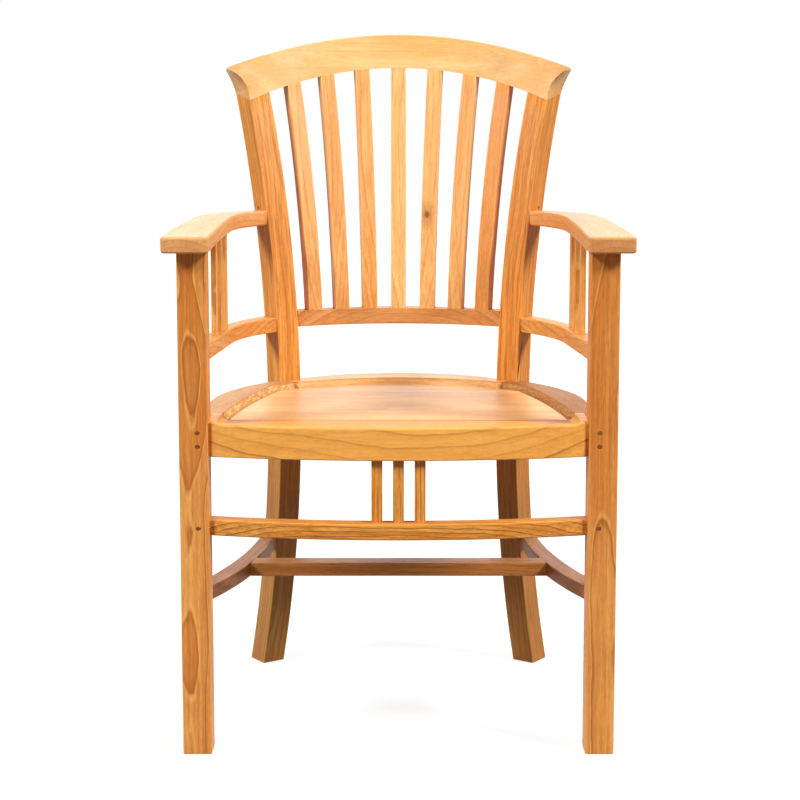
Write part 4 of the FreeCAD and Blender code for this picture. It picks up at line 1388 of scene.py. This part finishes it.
@dataclass(frozen=True)
class Lamp:
    """One large soft light, far off. Its bearing from the front, height and spread are degrees."""

    name: str
    bearing: float
    height: float
    spread: float
    strength: float
    distance: float = 3.0

    def set_up(self) -> None:
        """Adds the light, turned to the chair."""
        data = bpy.data.lights.new(self.name, "SUN")
        data.energy = self.strength
        data.angle = radians(self.spread)
        lamp = bpy.data.objects.new(self.name, data)
        bearing, height = radians(self.bearing), radians(self.height)
        place = Vector((sin(bearing) * cos(height), -cos(bearing) * cos(height), sin(height)))
        lamp.location = place * self.distance
        lamp.rotation_euler = place.to_track_quat("Z", "Y").to_euler()
        bpy.context.scene.collection.objects.link(lamp)


@dataclass
class Studio:
    """A white floor and room, soft light from both sides and the photograph's camera."""

    floor_reach: float = 9.0
    floor_sides: int = 64
    floor_grain: float = 40.0
    floor_mottle: float = 0.02
    room_level: float = 0.125
    floor_glow: float = 0.7
    floor_seen: float = 0.36
    floor_bounce: float = 0.18
    camera_place: Direction = (0.0, -2.5915, 0.839)
    camera_dip: float = 7.14
    sensor: float = 36.0
    lens: float = 81.37
    shift: tuple[float, float] = (0.0019, -0.07)
    lamps: tuple[Lamp, ...] = (
        Lamp("left_key", -58.0, 35.0, 16.0, 2.5),
        Lamp("right_key", 58.0, 37.0, 16.0, 3.0),
        Lamp("rear_fill", 180.0, 42.0, 60.0, 1.3),
    )

    def build(self) -> None:
        """Sets up the whole studio."""
        self.lay_floor()
        self.fill_room()
        for lamp in self.lamps:
            lamp.set_up()
        self.place_camera()
        bpy.context.scene.view_settings.view_transform = "Standard"

    def lay_floor(self) -> None:
        """Lays a white floor that keeps the chair's soft shadow."""
        shape = bmesh.new()
        bmesh.ops.create_circle(
            shape, cap_ends=True, radius=self.floor_reach, segments=self.floor_sides
        )
        mesh = bpy.data.meshes.new("floor")
        shape.to_mesh(mesh)
        shape.free()
        floor = bpy.data.objects.new("floor", mesh)
        bpy.context.scene.collection.objects.link(floor)
        material = bpy.data.materials.new("white_floor")
        material.use_nodes = True
        material.node_tree.nodes.clear()
        wiring = Wiring(material.node_tree)
        seen = self.seen_rays(wiring)
        place = wiring.node("TexCoord").outputs["Object"]
        speckle = wiring.noise(place, self.floor_grain, detail=3.0)
        level = wiring.maths(
            "MULTIPLY_ADD", seen, self.floor_seen - self.floor_bounce, self.floor_bounce
        )
        level = wiring.maths("MULTIPLY_ADD", speckle, self.floor_mottle, level)
        tint = wiring.node("CombineXYZ", None, in_0=level, in_1=level, in_2=level)
        matt = wiring.node("BsdfDiffuse", None, Color=tint.outputs[0])
        strength = wiring.maths("MULTIPLY", seen, self.floor_glow)
        glow = wiring.node("Emission", None, Strength=strength)
        both = wiring.node("AddShader", None, in_0=matt.outputs[0], in_1=glow.outputs[0])
        wiring.node("OutputMaterial", None, Surface=both.outputs[0])
        mesh.materials.append(material)

    @staticmethod
    def seen_rays(wiring: Wiring) -> Socket:
        """Tells the rays that show the room from those that only light the chair.

        Args:
            wiring: The material or the world being built.

        Returns:
            1 for rays that come straight from the camera, by a reflection or through glass, else 0.
        """
        path = wiring.node("LightPath").outputs
        either = wiring.maths("MAXIMUM", path["Is Camera Ray"], path["Is Glossy Ray"])
        return wiring.maths("MAXIMUM", either, path["Is Transmission Ray"])

    def fill_room(self) -> None:
        """Makes the room white where it is seen, and a plain even light elsewhere."""
        world = bpy.data.worlds.new("white_room")
        bpy.context.scene.world = world
        world.use_nodes = True
        world.node_tree.nodes.clear()
        wiring = Wiring(world.node_tree)
        seen = self.seen_rays(wiring)
        level = wiring.maths("MULTIPLY_ADD", seen, 1.0 - self.room_level, self.room_level)
        light = wiring.node("Background", None, Color=(1.0, 1.0, 1.0, 1.0), Strength=level)
        wiring.node("OutputWorld", None, Surface=light.outputs[0])

    def place_camera(self) -> None:
        """Stands the camera in front of the chair, looking slightly down."""
        data = bpy.data.cameras.new("camera")
        data.sensor_width = self.sensor
        data.lens = self.lens
        data.shift_x, data.shift_y = self.shift
        camera = bpy.data.objects.new("camera", data)
        camera.location = self.camera_place
        camera.rotation_euler = (pi / 2 - radians(self.camera_dip), 0.0, 0.0)
        bpy.context.scene.collection.objects.link(camera)
        bpy.context.scene.camera = camera


def main() -> None:
    """Builds the chair and its studio in order and reports each piece."""
    logging.basicConfig(level=logging.INFO, format="%(name)s: %(message)s")
    shop = Workshop()
    for assembly in (Legs(), Back(), Arms(), Seat(), Stretchers(), Pegs(), Plugs()):
        assembly.build(shop)
        LOG.info("%s built", type(assembly).__name__.lower())
    Studio().build()


if __name__ == "__main__":
    main()
